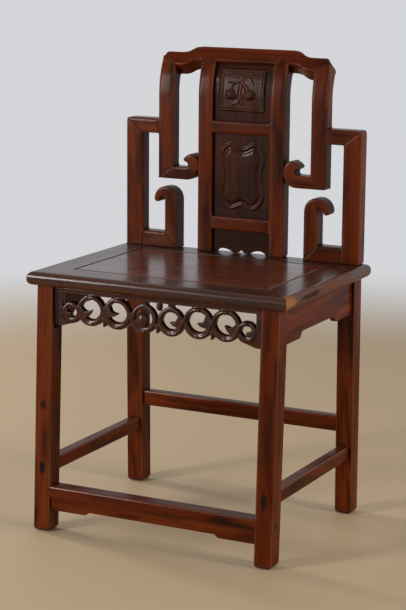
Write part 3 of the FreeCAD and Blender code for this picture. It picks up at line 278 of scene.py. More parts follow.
@dataclass(frozen=True)
class Finish:
    """A polished hardwood: its colours, its sheen, its wear, and the painted shade with grime that darkens
    its recesses.
    """

    name: str
    dark: Colour
    body: Colour
    light: Colour
    worn: Colour = (0.210, 0.070, 0.026)
    # painted shade: near-black laid into recesses and corners by ambient occlusion, together with grime
    recess_shade_and_grime: Colour = (0.010, 0.005, 0.004)
    end_grain: Colour = (0.022, 0.009, 0.006)
    roughness: float = 0.28
    shine: float = 0.11
    coat: float = 0.04
    coat_roughness: float = 0.12
    edge_coat: float = 0.35
    shade_and_grime_reach: float = 0.014
    shade_and_grime_share: float = 0.80
    wear_share: float = 0.50
    figure_share: float = 0.42
    pore_depth: float = 0.00025
    marks: tuple[Mark, ...] = ()

    MOTTLE_STRETCH: ClassVar[float] = 5.0
    LENGTH_STRETCH: ClassVar[float] = 14.0
    STREAK_STRETCH: ClassVar[float] = 45.0
    OFFSETS: ClassVar[Place] = (3.1, 5.3, 7.7)
    MOTTLE: ClassVar[Cloud] = Cloud(6.0, 5.0, 0.8, (0.36, 0.60))
    TONE: ClassVar[Cloud] = Cloud(2.4, 4.0, 0.6, (0.26, 0.72))
    RINGS: ClassVar[Cloud] = Cloud(0.9, 2.0, 0.3)
    STREAKS: ClassVar[Cloud] = Cloud(4.5, 5.0, span=(0.34, 0.72))
    PORES: ClassVar[Cloud] = Cloud(26.0, 2.0, span=(0.52, 0.68))
    RUBBING: ClassVar[Cloud] = Cloud(5.0, 4.0, span=(0.30, 0.68))
    FRAYS: ClassVar[Cloud] = Cloud(22.0, 4.0)
    PATCHES: ClassVar[Cloud] = Cloud(3.5, 5.0)
    WAVES: ClassVar[Cloud] = Cloud(1.6, 1.0)
    RING_COUNT: ClassVar[float] = 9.0
    RING_SPAN: ClassVar[Point] = (0.10, 0.95)
    BODY_SHARE: ClassVar[float] = 0.6
    BODY_SPAN: ClassVar[Point] = (0.05, 0.95)
    STREAK_SHARE: ClassVar[float] = 0.6
    MOTTLE_SHARE: ClassVar[float] = 0.4
    PORE_SHARE: ClassVar[float] = 0.40
    END_SHARE: ClassVar[float] = 0.75
    END_SPAN: ClassVar[Point] = (0.80, 0.97)
    FRAY: ClassVar[float] = 1.6
    MARK_SPAN: ClassVar[Point] = (0.1, 0.6)
    OPEN_SPAN: ClassVar[Point] = (0.15, 0.85)
    OPEN_SAMPLES: ClassVar[int] = 8
    PATCH_ROUGHNESS: ClassVar[float] = 0.22
    DIRT_ROUGHNESS: ClassVar[float] = 0.30
    PORE_ROUGHNESS: ClassVar[float] = 0.08
    RUBBED_GLOSS: ClassVar[float] = 0.10
    BARE_ROUGHNESS: ClassVar[float] = 0.35
    WAVE_HEIGHT: ClassVar[float] = 0.6
    PORE_HEIGHT: ClassVar[float] = 0.4
    STREAK_HEIGHT: ClassVar[float] = 0.25
    BUMP_STRENGTH: ClassVar[float] = 0.35

    def stretched(self, graph: Graph, grain: Grain, stretch: float) -> Socket:
        """Give coordinates that are drawn out along the grain, moved by chance from piece to piece.

        Args:
            graph: node tree.
            grain: the way the grain runs.
            stretch: how many times finer the pattern is across the grain.

        Returns:
            The coordinates.
        """
        chance = graph.node("ShaderNodeObjectInfo", {}, {}, "Random")
        moves = {axis: chance * step for axis, step in enumerate(self.OFFSETS)}
        move = graph.node("ShaderNodeCombineXYZ", {}, moves)
        place = graph.vector("ADD", graph.place(), move)
        scale = [stretch] * 3
        scale[grain.value] = 1.0
        return graph.vector("MULTIPLY", place, tuple(scale))

    def end_faces(self, graph: Graph, grain: Grain) -> Socket:
        """Find the faces that lie square to the grain, as on the end of a tenon.

        Args:
            graph: node tree.
            grain: the way the grain runs.

        Returns:
            A value that is 1 on those faces.
        """
        normal = graph.node("ShaderNodeNewGeometry", {}, {}, "True Normal")
        along = graph.node("ShaderNodeSeparateXYZ", {}, {0: normal}, grain.value)
        return along.size().between(*self.END_SPAN)

    def spotted(self, graph: Graph, colour: Socket, ragged: Socket) -> tuple[Socket, Any]:
        """Lay the marks over a colour.

        Args:
            graph: node tree.
            colour: colour of the wood.
            ragged: noise that frays the edges of the marks.

        Returns:
            The colour with the marks, and how far the polish is gone.
        """
        bare: Any = 0.0
        for mark in self.marks:
            way = graph.vector("SUBTRACT", graph.place(), mark.place)
            away = graph.length(graph.vector("DIVIDE", way, mark.reach))
            near = (1.0 - away + (ragged - Cloud.MIDDLE) * self.FRAY).between(*self.MARK_SPAN)
            colour = graph.blend(colour, mark.colour, near * mark.share)
            bare = near * mark.share + bare
        return colour, bare

    def material(self, grain: Grain) -> bpy.types.Material:
        """Make the material for one way of the grain, or give it if it is there.

        Args:
            grain: the way the grain runs.

        Returns:
            The material.
        """
        name = f"{self.name}_{grain.name.lower()}"
        found = bpy.data.materials.get(name)
        if found:
            return found
        made = bpy.data.materials.new(name)
        graph = Graph(made)
        graph.node("ShaderNodeOutputMaterial", {}, {"Surface": self.shader(graph, grain)})
        return made

    def shader(self, graph: Graph, grain: Grain) -> Socket:
        """Make the polished wood, with painted shade in its recesses.

        Args:
            graph: node tree of the material.
            grain: the way the grain runs.

        Returns:
            The shader.
        """
        blotchy = self.stretched(graph, grain, self.MOTTLE_STRETCH)
        lengthwise = self.stretched(graph, grain, self.LENGTH_STRETCH)
        streaky = self.stretched(graph, grain, self.STREAK_STRETCH)
        mottle = graph.noise(blotchy, self.MOTTLE)
        tone = graph.noise(lengthwise, self.TONE)
        rings = (graph.noise(lengthwise, self.RINGS) * self.RING_COUNT).folded().between(*self.RING_SPAN)
        streaks = graph.noise(streaky, self.STREAKS)
        pores = graph.noise(streaky, self.PORES)
        toned = (tone * self.BODY_SHARE + mottle * self.BODY_SHARE).between(*self.BODY_SPAN)
        colour = graph.blend(self.dark, self.body, toned)
        figure = (streaks * self.STREAK_SHARE + mottle * self.MOTTLE_SHARE) * rings
        colour = graph.blend(colour, self.light, figure * self.figure_share)
        colour = graph.blend(colour, self.dark, pores * self.PORE_SHARE)
        colour = graph.blend(colour, self.end_grain, self.end_faces(graph, grain) * self.END_SHARE)
        edge = graph.node("ShaderNodeAttribute", {"attribute_name": Bench.WORN}, {}, "Fac")
        rubbed = graph.noise(lengthwise, self.RUBBING) * edge
        colour = graph.blend(colour, self.worn, rubbed * self.wear_share)
        colour, bare = self.spotted(graph, colour, graph.noise(blotchy, self.FRAYS))
        # Painted shade: ambient occlusion darkens the colour in recesses and corners, mixed with grime that
        # also roughens them.
        samples, reach = {"samples": self.OPEN_SAMPLES}, {"Distance": self.shade_and_grime_reach}
        free = graph.node("ShaderNodeAmbientOcclusion", samples, reach, "AO").between(*self.OPEN_SPAN)
        shade_and_dirt = (1.0 - free) * self.shade_and_grime_share
        colour = graph.blend(colour, self.recess_shade_and_grime, shade_and_dirt)
        patches = graph.noise(lengthwise, self.PATCHES) - Cloud.MIDDLE
        roughness = self.roughness + patches * self.PATCH_ROUGHNESS
        roughness = roughness + shade_and_dirt * self.DIRT_ROUGHNESS + pores * self.PORE_ROUGHNESS
        roughness = roughness - rubbed * self.RUBBED_GLOSS + bare * self.BARE_ROUGHNESS
        waves = graph.noise(lengthwise, self.WAVES)
        height = waves * self.WAVE_HEIGHT - pores * self.PORE_HEIGHT + streaks * self.STREAK_HEIGHT
        bump = {"Height": height, "Strength": self.BUMP_STRENGTH, "Distance": self.pore_depth}
        normal = graph.node("ShaderNodeBump", {}, bump)
        coat: Any = self.coat
        if self.edge_coat:
            coat = edge * self.edge_coat + coat
        if self.marks:
            coat = (1.0 - bare) * coat
        inputs = {
            "Base Color": colour, "Roughness": roughness, "Normal": normal, "Coat Weight": coat,
            "Coat Roughness": self.coat_roughness, "Specular IOR Level": self.shine,
        }
        return graph.node("ShaderNodeBsdfPrincipled", {}, inputs)


STAIN: Colour = (0.010, 0.006, 0.005)
STAIN_REACH: Place = (0.010, 0.012, 0.021)


def tenon_stain(node: str) -> Mark:
    """Give the dark stain round the tenon at the front end of a side stretcher."""
    low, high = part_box(node)
    return Mark(((low.x + high.x) / 2, low.y, (low.z + high.z) / 2), STAIN_REACH, STAIN)


FRAME_POLISH = Finish(
    "frame_polish",
    dark=(0.022, 0.0040, 0.0010), body=(0.104, 0.0155, 0.0019), light=(0.235, 0.048, 0.0070),
    roughness=0.26, shine=0.055, coat=0.035, figure_share=0.50, shade_and_grime_reach=0.018, shade_and_grime_share=0.92,
    marks=(
        Mark((-0.232, -0.214, 0.246), (0.011, 0.02, 0.014), (0.010, 0.005, 0.004)),
        tenon_stain("left_stretcher"), tenon_stain("right_stretcher"),
    ),
)
PANEL_POLISH = Finish(
    "panel_polish",
    dark=(0.032, 0.0074, 0.0020), body=(0.104, 0.0180, 0.0034), light=(0.185, 0.042, 0.0090),
    roughness=0.23, shine=0.24, coat=0.25, coat_roughness=0.10, edge_coat=0.0, shade_and_grime_reach=0.020,
    shade_and_grime_share=0.98, wear_share=0.05,
)
RAIL_POLISH = Finish(
    "rail_polish",
    dark=(0.020, 0.0062, 0.0022), body=(0.055, 0.0130, 0.0036), light=(0.115, 0.032, 0.0085),
    roughness=0.25, shine=0.19, coat=0.18, coat_roughness=0.12, edge_coat=0.0, shade_and_grime_share=0.95,
    wear_share=0.20,
)
WORN_RAIL_POLISH = replace(
    RAIL_POLISH, name="worn_rail_polish", marks=(
        Mark((0.266, -0.030, 0.491), (0.02, 0.200, 0.016), (0.130, 0.034, 0.007), 0.75),
        Mark((0.267, -0.190, 0.491), (0.02, 0.052, 0.015), (0.340, 0.140, 0.040)),
        Mark((0.266, -0.095, 0.488), (0.02, 0.065, 0.007), (0.010, 0.006, 0.004)),
    ),
)
# painted shade: a darker copy of the hardwood for the front apron, which sits in the seat's shadow
SHADED_CARVED_POLISH = Finish(
    "carved_polish",
    dark=(0.018, 0.0040, 0.0014), body=(0.048, 0.0092, 0.0024), light=(0.095, 0.021, 0.0052),
    roughness=0.22, shine=0.14, coat=0.24, coat_roughness=0.08, shade_and_grime_reach=0.010, shade_and_grime_share=0.95,
    wear_share=0.40,
)
SPLAT_POLISH = Finish(
    "splat_polish",
    dark=(0.018, 0.0042, 0.0014), body=(0.046, 0.0085, 0.0020), light=(0.095, 0.020, 0.0050),
    roughness=0.25, shine=0.05, coat=0.16, coat_roughness=0.07, shade_and_grime_reach=0.011, shade_and_grime_share=0.95,
    wear_share=0.45,
)
# painted shade: a very dark copy of the hardwood for the splat's foot board, which stands in shadow
SHADED_FOOT_POLISH = Finish(
    "foot_polish",
    dark=(0.011, 0.0042, 0.0026), body=(0.028, 0.0092, 0.0050), light=(0.055, 0.020, 0.0100),
    roughness=0.34, shine=0.04, coat=0.02,
)


class Bench:
    """Works the solids of the frame into finished pieces with softened edges."""

    WORN: ClassVar[str] = "worn"
    CONTACT: ClassVar[float] = 0.0004
    SAMPLE: ClassVar[float] = 0.001
    SHORTEST: ClassVar[float] = 0.004
    NARROW: ClassVar[float] = 0.0035
    SHARP: ClassVar[float] = math.radians(30.0)
    FLAT: ClassVar[float] = math.radians(0.5)
    WELD: ClassVar[float] = 0.00001
    SEGMENTS: ClassVar[int] = 4
    JOINT_ROUND: ClassVar[float] = 0.0006
    JOINT_PROBE: ClassVar[float] = 0.0009
    BEND_RISE: ClassVar[float] = 0.0945
    BEND_SWEEP: ClassVar[float] = 0.0335
    BEND_STEP: ClassVar[float] = 0.003
    BEND_REACH: ClassVar[float] = 0.0008
    STRAIGHT: ClassVar[float] = math.cos(math.radians(35.0))
    VOXEL: ClassVar[float] = 0.0012
    HELD_REACH: ClassVar[float] = 0.0009
    HELD_SHARE: ClassVar[float] = 0.10
    RUB_REACH: ClassVar[float] = 0.68
    CORNER_ROUND: ClassVar[float] = 0.013
    CORNER_REACH: ClassVar[float] = 0.004

    def __init__(self, nodes: dict[str, bpy.types.Object]) -> None:
        """Take the frame's nodes, and find where the back bends and where its corners lie.

        Args:
            nodes: solids of the frame, by name.
        """
        self.nodes = nodes
        self.boxes = {name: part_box(name) for name in nodes}
        radius = (self.BEND_RISE ** 2 + self.BEND_SWEEP ** 2) / (2 * self.BEND_SWEEP)
        front, rear = (corner.y for corner in self.boxes["right_outer_stile"])
        self.bend_start = CAD_BOX[1][2] - self.BEND_RISE
        self.bend_middle = front + radius
        self.bend_radii = (radius, radius - (rear - front))
        crest = np.array([vertex.co for vertex in nodes["crest_rail"].data.vertices])
        self.corner_place = np.abs(crest[:, 0]).max()
        ends = crest[np.abs(crest[:, 0]) > self.corner_place - self.CORNER_REACH]
        self.corner_rise = self.unbent(ends)[0].max()

    def unbent(self, spots: np.ndarray) -> tuple[np.ndarray, np.ndarray]:
        """Give how far points lie along the bend of the back and how far from its middle."""
        inward, upward = self.bend_middle - spots[:, 1], spots[:, 2] - self.bend_start
        return np.arctan2(upward, inward) * self.bend_radii[0], np.hypot(upward, inward)

    def soften_corners(self, skin: "Skin") -> None:
        """Round the upper outer corners of the back, in one way on all pieces that meet there.

        Args:
            skin: skin of a piece of the back.
        """
        rise, arm = self.unbent(skin.spots)
        start_x, start_rise = self.corner_place - self.CORNER_ROUND, self.corner_rise - self.CORNER_ROUND
        out, up = np.abs(skin.spots[:, 0]) - start_x, rise - start_rise
        inside = (out > 0.0) & (up > 0.0)
        scale = np.maximum(out, up)[inside] / np.hypot(out, up)[inside]
        turn = (start_rise + up[inside] * scale) / self.bend_radii[0]
        skin.spots[inside, 0] = np.sign(skin.spots[inside, 0]) * (start_x + out[inside] * scale)
        skin.spots[inside, 1] = self.bend_middle - arm[inside] * np.cos(turn)
        skin.spots[inside, 2] = self.bend_start + arm[inside] * np.sin(turn)
        skin.write()

    def neighbours(self, node: str) -> BVHTree:
        """Give a search tree over the solids that may touch a node.

        Args:
            node: name of the node.

        Returns:
            A tree of the faces of all solids whose boxes meet its box.
        """
        low, high = self.boxes[node]
        spots: list[Vector] = []
        faces: list[tuple[int, ...]] = []
        for name, other in self.nodes.items():
            near, far = self.boxes[name]
            apart = any(near[i] > high[i] + self.CONTACT or far[i] < low[i] - self.CONTACT for i in range(3))
            if name == node or apart:
                continue
            start = len(spots)
            spots += [vertex.co.copy() for vertex in other.data.vertices]
            faces += [tuple(start + index for index in face.vertices) for face in other.data.polygons]
        return BVHTree.FromPolygons(spots, faces)

    def eased(self, node: str, name: str, edge_round: float, foot_round: float) -> bpy.types.Object:
        """Copy a node's solid and round the edges that lie outside its joints.

        Args:
            node: name of the node.
            name: name of the new piece.
            edge_round: radius of the rounded edges.
            foot_round: radius of those that stand on the floor.

        Returns:
            The new piece.
        """
        widest = max(edge_round, foot_round)
        work = self.solid(node)
        tree = self.neighbours(node)
        for edge in [edge for edge in work.edges if self.outer(edge)]:
            self.split_at_joints(edge, tree)
        weights = work.edges.layers.float.new("bevel_weight_edge")
        joints = []
        for edge in [edge for edge in work.edges if self.outer(edge)]:
            middle = (edge.verts[0].co + edge.verts[1].co) / 2
            if not self.touches(tree, middle):
                edge[weights] = (foot_round if middle.z < self.CONTACT else edge_round) / widest
            elif self.in_sight(edge, middle, tree):
                joints.append(edge)
        for edge in [edge for edge in joints if not self.runs_on(edge, weights)]:
            edge[weights] = min(1.0, self.JOINT_ROUND / widest)
        piece = self.piece(work, name)
        bevel = piece.modifiers.new("edge_round", "BEVEL")
        bevel.limit_method = "WEIGHT"
        bevel.width = widest
        bevel.segments = self.SEGMENTS
        bevel.use_clamp_overlap = False
        bevel.miter_outer = "MITER_ARC"
        self.settle(piece)
        self.mark_worn(piece.data)
        self.smooth(piece)
        return piece

    def solid(self, node: str) -> bmesh.types.BMesh:
        """Copy a node's solid, with its points joined and its flat faces whole.

        Args:
            node: name of the node.

        Returns:
            The copy.
        """
        work = bmesh.new()
        work.from_mesh(self.nodes[node].data)
        bmesh.ops.remove_doubles(work, verts=work.verts, dist=self.WELD)
        bmesh.ops.dissolve_limit(work, angle_limit=self.FLAT, verts=work.verts, edges=work.edges)
        return work

    @staticmethod
    def piece(work: bmesh.types.BMesh, name: str) -> bpy.types.Object:
        """Turn a worked mesh into a piece of the scene.

        Args:
            work: worked mesh, which is used up.
            name: name of the piece.

        Returns:
            The piece.
        """
        mesh = bpy.data.meshes.new(name)
        work.to_mesh(mesh)
        work.free()
        return placed(name, mesh)

    @classmethod
    def shell(cls, name: str, spots: np.ndarray, faces: Sequence[Sequence[int]]) -> bpy.types.Object:
        """Make a piece whose faces all look outward.

        Args:
            name: name of the piece.
            spots: its points.
            faces: its faces, by the numbers of their points.

        Returns:
            The piece.
        """
        draft = bpy.data.meshes.new(f"{name}_draft")
        draft.from_pydata(spots.tolist(), [], faces)
        work = bmesh.new()
        work.from_mesh(draft)
        bpy.data.meshes.remove(draft)
        bmesh.ops.recalc_face_normals(work, faces=work.faces)
        return cls.piece(work, name)

    def skinned(self, piece: bpy.types.Object, voxel: float) -> "Skin":
        """Give a piece one fine skin of even faces.

        Args:
            piece: piece of closed shells.
            voxel: size of the faces.

        Returns:
            The skin.
        """
        skin = piece.modifiers.new("skin", "REMESH")
        skin.mode = "VOXEL"
        skin.voxel_size = voxel
        self.settle(piece)
        piece.data.shade_smooth()
        return Skin(piece.data)

    def rubbed(self, node: str, name: str, edge_round: float) -> bpy.types.Object:
        """Copy a node's solid and rub all its edges round, but hardly those at its joints.

        Args:
            node: name of the node.
            name: name of the new piece.
            edge_round: radius of the rounded edges.

        Returns:
            The new piece.
        """
        work = self.solid(node)
        self.slice_bend(work)
        self.bend_true(work)
        piece = self.piece(work, name)
        skin = self.skinned(piece, self.VOXEL)
        tree = self.neighbours(node)
        held = [tree.find_nearest(Vector(spot), self.HELD_REACH)[0] is not None for spot in skin.spots]
        rounds = round((edge_round / (self.RUB_REACH * self.VOXEL)) ** 2)
        skin.rub(rounds, np.where(held, self.HELD_SHARE, 1.0)[:, None])
        self.soften_corners(skin)
        self.write_worn(piece.data, skin.ridges(self.VOXEL))
        return piece

    def slice_bend(self, work: bmesh.types.BMesh) -> None:
        """Cut a piece into level slices where the back bends.

        Args:
            work: mesh to cut.
        """
        top = max(vertex.co.z for vertex in work.verts)
        for height in np.arange(self.bend_start, top, self.BEND_STEP):
            parts = [*work.verts, *work.edges, *work.faces]
            spot, up = (0.0, 0.0, float(height)), (0.0, 0.0, 1.0)
            bmesh.ops.bisect_plane(work, geom=parts, dist=self.WELD, plane_co=spot, plane_no=up)

    def bend_true(self, work: bmesh.types.BMesh) -> None:
        """Move the points of the bent front and rear faces onto their true curves.

        Args:
            work: mesh to mend.
        """
        for vertex in work.verts:
            if vertex.co.z <= self.bend_start:
                continue
            arm = Vector((self.bend_middle - vertex.co.y, vertex.co.z - self.bend_start))
            for radius in self.bend_radii:
                if abs(arm.length - radius) < self.BEND_REACH:
                    arm *= radius / arm.length
                    vertex.co.y = self.bend_middle - arm.x
                    vertex.co.z = self.bend_start + arm.y
                    break

    def runs_on(self, edge: bmesh.types.BMEdge, weights: bmesh.types.BMLayerItem) -> bool:
        """Tell whether an edge runs on, without a corner, into one that is rounded.

        Args:
            edge: edge at a joint.
            weights: how far each edge is rounded.

        Returns:
            Whether it does.
        """
        way = (edge.verts[1].co - edge.verts[0].co).normalized()
        for vertex in edge.verts:
            for other in vertex.link_edges:
                along = (other.verts[1].co - other.verts[0].co).normalized()
                if other[weights] > 0.0 and abs(way.dot(along)) > self.STRAIGHT:
                    return True
        return False

    def in_sight(self, edge: bmesh.types.BMEdge, middle: Vector, tree: BVHTree) -> bool:
        """Tell whether a joint's edge can be seen, with free air before one of its faces.

        Args:
            edge: edge that touches a neighbour.
            middle: its middle.
            tree: search tree over the neighbours.

        Returns:
            Whether it can be seen.
        """
        for face in edge.link_faces:
            spot = middle + face.normal * self.JOINT_PROBE
            near, normal, _, _ = tree.find_nearest(spot)
            if (spot - near).dot(normal) > 0.0 and not self.touches(tree, spot):
                return True
        return False

    def outer(self, edge: bmesh.types.BMEdge) -> bool:
        """Tell whether an edge is a sharp outer one."""
        return edge.is_manifold and edge.calc_face_angle_signed() > self.SHARP

    def touches(self, tree: BVHTree, spot: Vector) -> bool:
        """Tell whether a point lies on a neighbour."""
        return tree.find_nearest(spot, self.CONTACT)[0] is not None

    def split_at_joints(self, edge: bmesh.types.BMEdge, tree: BVHTree) -> None:
        """Split an edge where it runs into or out of a joint.

        Args:
            edge: edge to split.
            tree: search tree over the neighbours.
        """
        first, last = edge.verts
        start, way = first.co.copy(), last.co - first.co
        count = max(2, math.ceil(way.length / self.SAMPLE))
        held = [self.touches(tree, start + way * (index / count)) for index in range(count + 1)]
        done = 0.0
        for share in self.changes(self.without_short_runs(held, count * self.SHORTEST / way.length)):
            ahead = (share / count - done) / (1.0 - done)
            _, first = bmesh.utils.edge_split(edge, first, ahead)
            edge = next(other for other in first.link_edges if last in other.verts)
            done = share / count

    @staticmethod
    def without_short_runs(held: list[bool], shortest: float) -> list[bool]:
        """Free the stretches of an edge that touch a neighbour only at a corner.

        Args:
            held: whether each sample along the edge touches a neighbour.
            shortest: least number of samples in a joint.

        Returns:
            The samples without the short stretches.
        """
        kept: list[bool] = []
        for touching, run in groupby(held):
            count = len(list(run))
            kept += [touching and (count > shortest or count == len(held))] * count
        return kept

    @staticmethod
    def changes(held: list[bool]) -> list[float]:
        """Give the places, in samples, where an edge enters or leaves a joint."""
        return [index + 0.5 for index in range(len(held) - 1) if held[index] != held[index + 1]]

    @staticmethod
    def settle(piece: bpy.types.Object) -> None:
        """Apply a piece's modifiers to its mesh.

        Args:
            piece: piece with modifiers.
        """
        shown = piece.evaluated_get(bpy.context.evaluated_depsgraph_get())
        mesh = bpy.data.meshes.new_from_object(shown)
        piece.modifiers.clear()
        piece.data = mesh
        mesh.name = piece.name

    def mark_worn(self, mesh: bpy.types.Mesh) -> None:
        """Mark the points inside rounded edges, where hands have rubbed the polish.

        Args:
            mesh: mesh of a piece with narrow faces along its rounded edges.
        """
        worn = np.ones(len(mesh.vertices), np.float32)
        spots = np.array([vertex.co for vertex in mesh.vertices])
        for face in mesh.polygons:
            ring = list(face.vertices)
            around = np.linalg.norm(spots[ring] - np.roll(spots[ring], 1, axis=0), axis=1).sum()
            if 2 * face.area > self.NARROW * around:
                worn[ring] = 0.0
        self.write_worn(mesh, worn)

    def write_worn(self, mesh: bpy.types.Mesh, worn: np.ndarray) -> None:
        """Store the wear of each point on a mesh."""
        attribute = mesh.attributes.new(self.WORN, "FLOAT", "POINT")
        attribute.data.foreach_set("value", worn.astype(np.float32))

    def smooth(self, piece: bpy.types.Object) -> None:
        """Shade a piece smooth, with its flat faces flat and its sharp edges sharp.

        Args:
            piece: piece to shade.
        """
        piece.data.shade_smooth()
        piece.data.set_sharp_from_angle(angle=self.SHARP)
        weighted = piece.modifiers.new("even_faces", "WEIGHTED_NORMAL")
        weighted.keep_sharp = True

    def depths(self, node: str, x: float, heights: Sequence[float], way: float = 1.0) -> np.ndarray:
        """Measure how far back the front or the rear of a node lies.

        Args:
            node: name of the node.
            x: place from side to side.
            heights: heights at which to measure.
            way: 1 to look from the front, -1 from behind.

        Returns:
            The depth at each height.
        """
        mesh = self.nodes[node].data
        spots = [vertex.co for vertex in mesh.vertices]
        tree = BVHTree.FromPolygons(spots, [tuple(face.vertices) for face in mesh.polygons])
        ahead = Vector((0.0, way, 0.0))
        hits = [tree.ray_cast(Vector((x, -way, height)), ahead)[0] for height in heights]
        return np.array([hit.y for hit in hits])


class Skin:
    """The points of a fine mesh and the links between them."""

    PACE: ClassVar[float] = 0.5
    KEENNESS: ClassVar[float] = 7.0

    def __init__(self, mesh: bpy.types.Mesh) -> None:
        """Read the points and the links of a mesh.

        Args:
            mesh: the fine mesh.
        """
        self.mesh = mesh
        spots = np.zeros(3 * len(mesh.vertices))
        mesh.vertices.foreach_get("co", spots)
        self.spots = spots.reshape(-1, 3)
        ends = np.zeros(2 * len(mesh.edges), np.int64)
        mesh.edges.foreach_get("vertices", ends)
        self.ends = ends.reshape(-1, 2)
        self.links = np.bincount(ends, minlength=len(self.spots))[:, None]

    def pull(self) -> np.ndarray:
        """Find the way from each point to the middle of its neighbours.

        Returns:
            The ways.
        """
        first, second = self.ends.T
        count = len(self.spots)
        total = np.empty_like(self.spots)
        for axis, along in enumerate(self.spots.T):
            ahead = np.bincount(first, along[second], count)
            total[:, axis] = ahead + np.bincount(second, along[first], count)
        return total / self.links - self.spots

    def rub(self, rounds: int, share: Any = 1.0) -> None:
        """Smooth the mesh.

        Args:
            rounds: how often each point moves towards its neighbours.
            share: how far it moves, one for all or one for each point.
        """
        for _ in range(rounds):
            self.spots += self.pull() * share * self.PACE
        self.write()

    def write(self) -> None:
        """Put the points back into the mesh."""
        self.mesh.vertices.foreach_set("co", self.spots.ravel())
        self.mesh.update()

    def ridges(self, spacing: float) -> np.ndarray:
        """Measure how far each point stands out from its neighbours.

        Args:
            spacing: how far apart the points lie.

        Returns:
            The heights of the ridges, from 0 to 1.
        """
        normals = np.zeros(self.spots.size)
        self.mesh.vertices.foreach_get("normal", normals)
        inward = (self.pull() * normals.reshape(-1, 3)).sum(axis=1)
        return np.clip(-inward / spacing * self.KEENNESS, 0.0, 1.0)


class Relief:
    """A carved face, as heights over a grid in the front view."""

    SEED: ClassVar[int] = 7

    def __init__(self, low: Sequence[float], high: Sequence[float], step: float) -> None:
        """Start with a flat face between two corners.

        Args:
            low: lower left corner.
            high: upper right corner.
            step: fineness of the grid.
        """
        axes = [np.linspace(low[i], high[i], round((high[i] - low[i]) / step) + 1) for i in (0, 1)]
        self.grid = np.stack(np.meshgrid(*axes), axis=-1)
        self.height = np.zeros(self.grid.shape[:2])

    def away(self, path: np.ndarray, half_width: Any = 1.0) -> np.ndarray:
        """Measure how far each spot lies from a line.

        Args:
            path: points of the line.
            half_width: what to measure in, one for all or one for each point.

        Returns:
            The distances in shares of the half width.
        """
        wide = np.broadcast_to(half_width, len(path))
        nearest = np.full(self.height.shape, np.inf)
        for start, end, here, there in zip(path, path[1:], wide, wide[1:]):
            way = end - start
            share = np.clip((self.grid - start) @ way / (way @ way), 0.0, 1.0)
            gap = np.linalg.norm(self.grid - start - share[..., None] * way, axis=-1)
            nearest = np.minimum(nearest, gap / (here + (there - here) * share))
        return nearest

    def inside(self, outline: np.ndarray) -> np.ndarray:
        """Measure how far each spot lies inside a closed line.

        Args:
            outline: points of the line.

        Returns:
            The distances, less than 0 outside the line.
        """
        within = np.zeros(self.height.shape, bool)
        x, z = self.grid[..., 0], self.grid[..., 1]
        for (ax, az), (bx, bz) in zip(outline, np.roll(outline, -1, axis=0)):
            if az != bz:
                within ^= ((az > z) != (bz > z)) & (x < ax + (z - az) / (bz - az) * (bx - ax))
        edge = self.away(np.vstack([outline, outline[:1]]))
        return np.where(within, edge, -edge)

    def profile(self, distance: np.ndarray, section: Sequence[Point]) -> None:
        """Raise the face by a section drawn over a distance."""
        places, rises = zip(*section)
        self.height += np.interp(distance, places, rises)

    @staticmethod
    def dome(share: np.ndarray) -> np.ndarray:
        """Give the heights of a round top, 1 at its middle and 0 from its edge on."""
        return np.sqrt(np.clip(1.0 - share ** 2, 0.0, None))

    def swell(self, share: np.ndarray, base: float, tall: float) -> None:
        """Raise a round-topped form.

        Args:
            share: 0 at its middle and 1 at its edge.
            base: height of its edge.
            tall: how far its middle stands above its edge.
        """
        form = base + tall * self.dome(share)
        self.height = np.where(share < 1.0, np.maximum(self.height, form), self.height)

    def cut(self, path: np.ndarray, half_width: float, depth: float) -> None:
        """Cut a round-bottomed groove along a line."""
        self.height -= depth * self.dome(self.away(path, half_width))

    def stippled(self, where: np.ndarray, depth: float) -> None:
        """Punch a ground full of small pits."""
        pits = np.random.default_rng(self.SEED).random(self.height.shape)
        self.height -= np.where(where, depth * pits, 0.0)

    def panel(self, name: str, thickness: float) -> bpy.types.Object:
        """Make a closed panel whose ground lies at depth 0.

        Args:
            name: name of the panel.
            thickness: depth of its back.

        Returns:
            The panel.
        """
        rows, columns = self.height.shape
        front = np.stack([self.grid[..., 0], -self.height, self.grid[..., 1]], axis=-1)
        rear = front[:, (0, -1)].copy()
        rear[..., 1] = thickness
        face = np.arange(rows * columns).reshape(rows, columns)
        back = rows * columns + np.arange(rows * 2).reshape(rows, 2)
        loops = [(face[:-1, :-1], face[:-1, 1:], face[1:, 1:], face[1:, :-1]),
                 (back[:-1, :1], back[1:, :1], back[1:, 1:], back[:-1, 1:]),
                 (face[:-1, :1], face[1:, :1], back[1:, :1], back[:-1, :1]),
                 (face[:-1, -1:], back[:-1, 1:], back[1:, 1:], face[1:, -1:])]
        quads = np.concatenate([np.stack(loop, axis=-1).reshape(-1, 4) for loop in loops])
        bottom = np.concatenate([face[0, ::-1], back[0]])
        top = np.concatenate([face[-1], back[-1, ::-1]])
        spots = np.concatenate([front.reshape(-1, 3), rear.reshape(-1, 3)])
        return Bench.shell(name, spots, [*quads.tolist(), bottom.tolist(), top.tolist()])


def flowing(points: Sequence[Point], closed: bool = False) -> np.ndarray:
    """Draw a smooth line through points.

    Args:
        points: places that the line runs through.
        closed: whether it returns to its start.

    Returns:
        The points of the line.
    """
    given = np.array(points, float)
    if closed:
        before, after, last = (np.roll(given, shift, axis=0) for shift in (1, -1, -2))
    else:
        ends = np.vstack([2 * given[0] - given[1], given, 2 * given[-1] - given[-2]])
        before, given, after, last = ends[:-3], ends[1:-2], ends[2:-1], ends[3:]
    t = np.linspace(0.0, 1.0, FLOW_STEPS, endpoint=False)[None, :, None]
    p0, p1, p2, p3 = (group[:, None, :] for group in (before, given, after, last))
    bend = 2 * p0 - 5 * p1 + 4 * p2 - p3
    twist = 3 * p1 - p0 - 3 * p2 + p3
    curve = 2 * p1 + (p2 - p0) * t + bend * t ** 2 + twist * t ** 3
    line = (curve / 2).reshape(-1, 2)
    return line if closed else np.vstack([line, after[-1]])


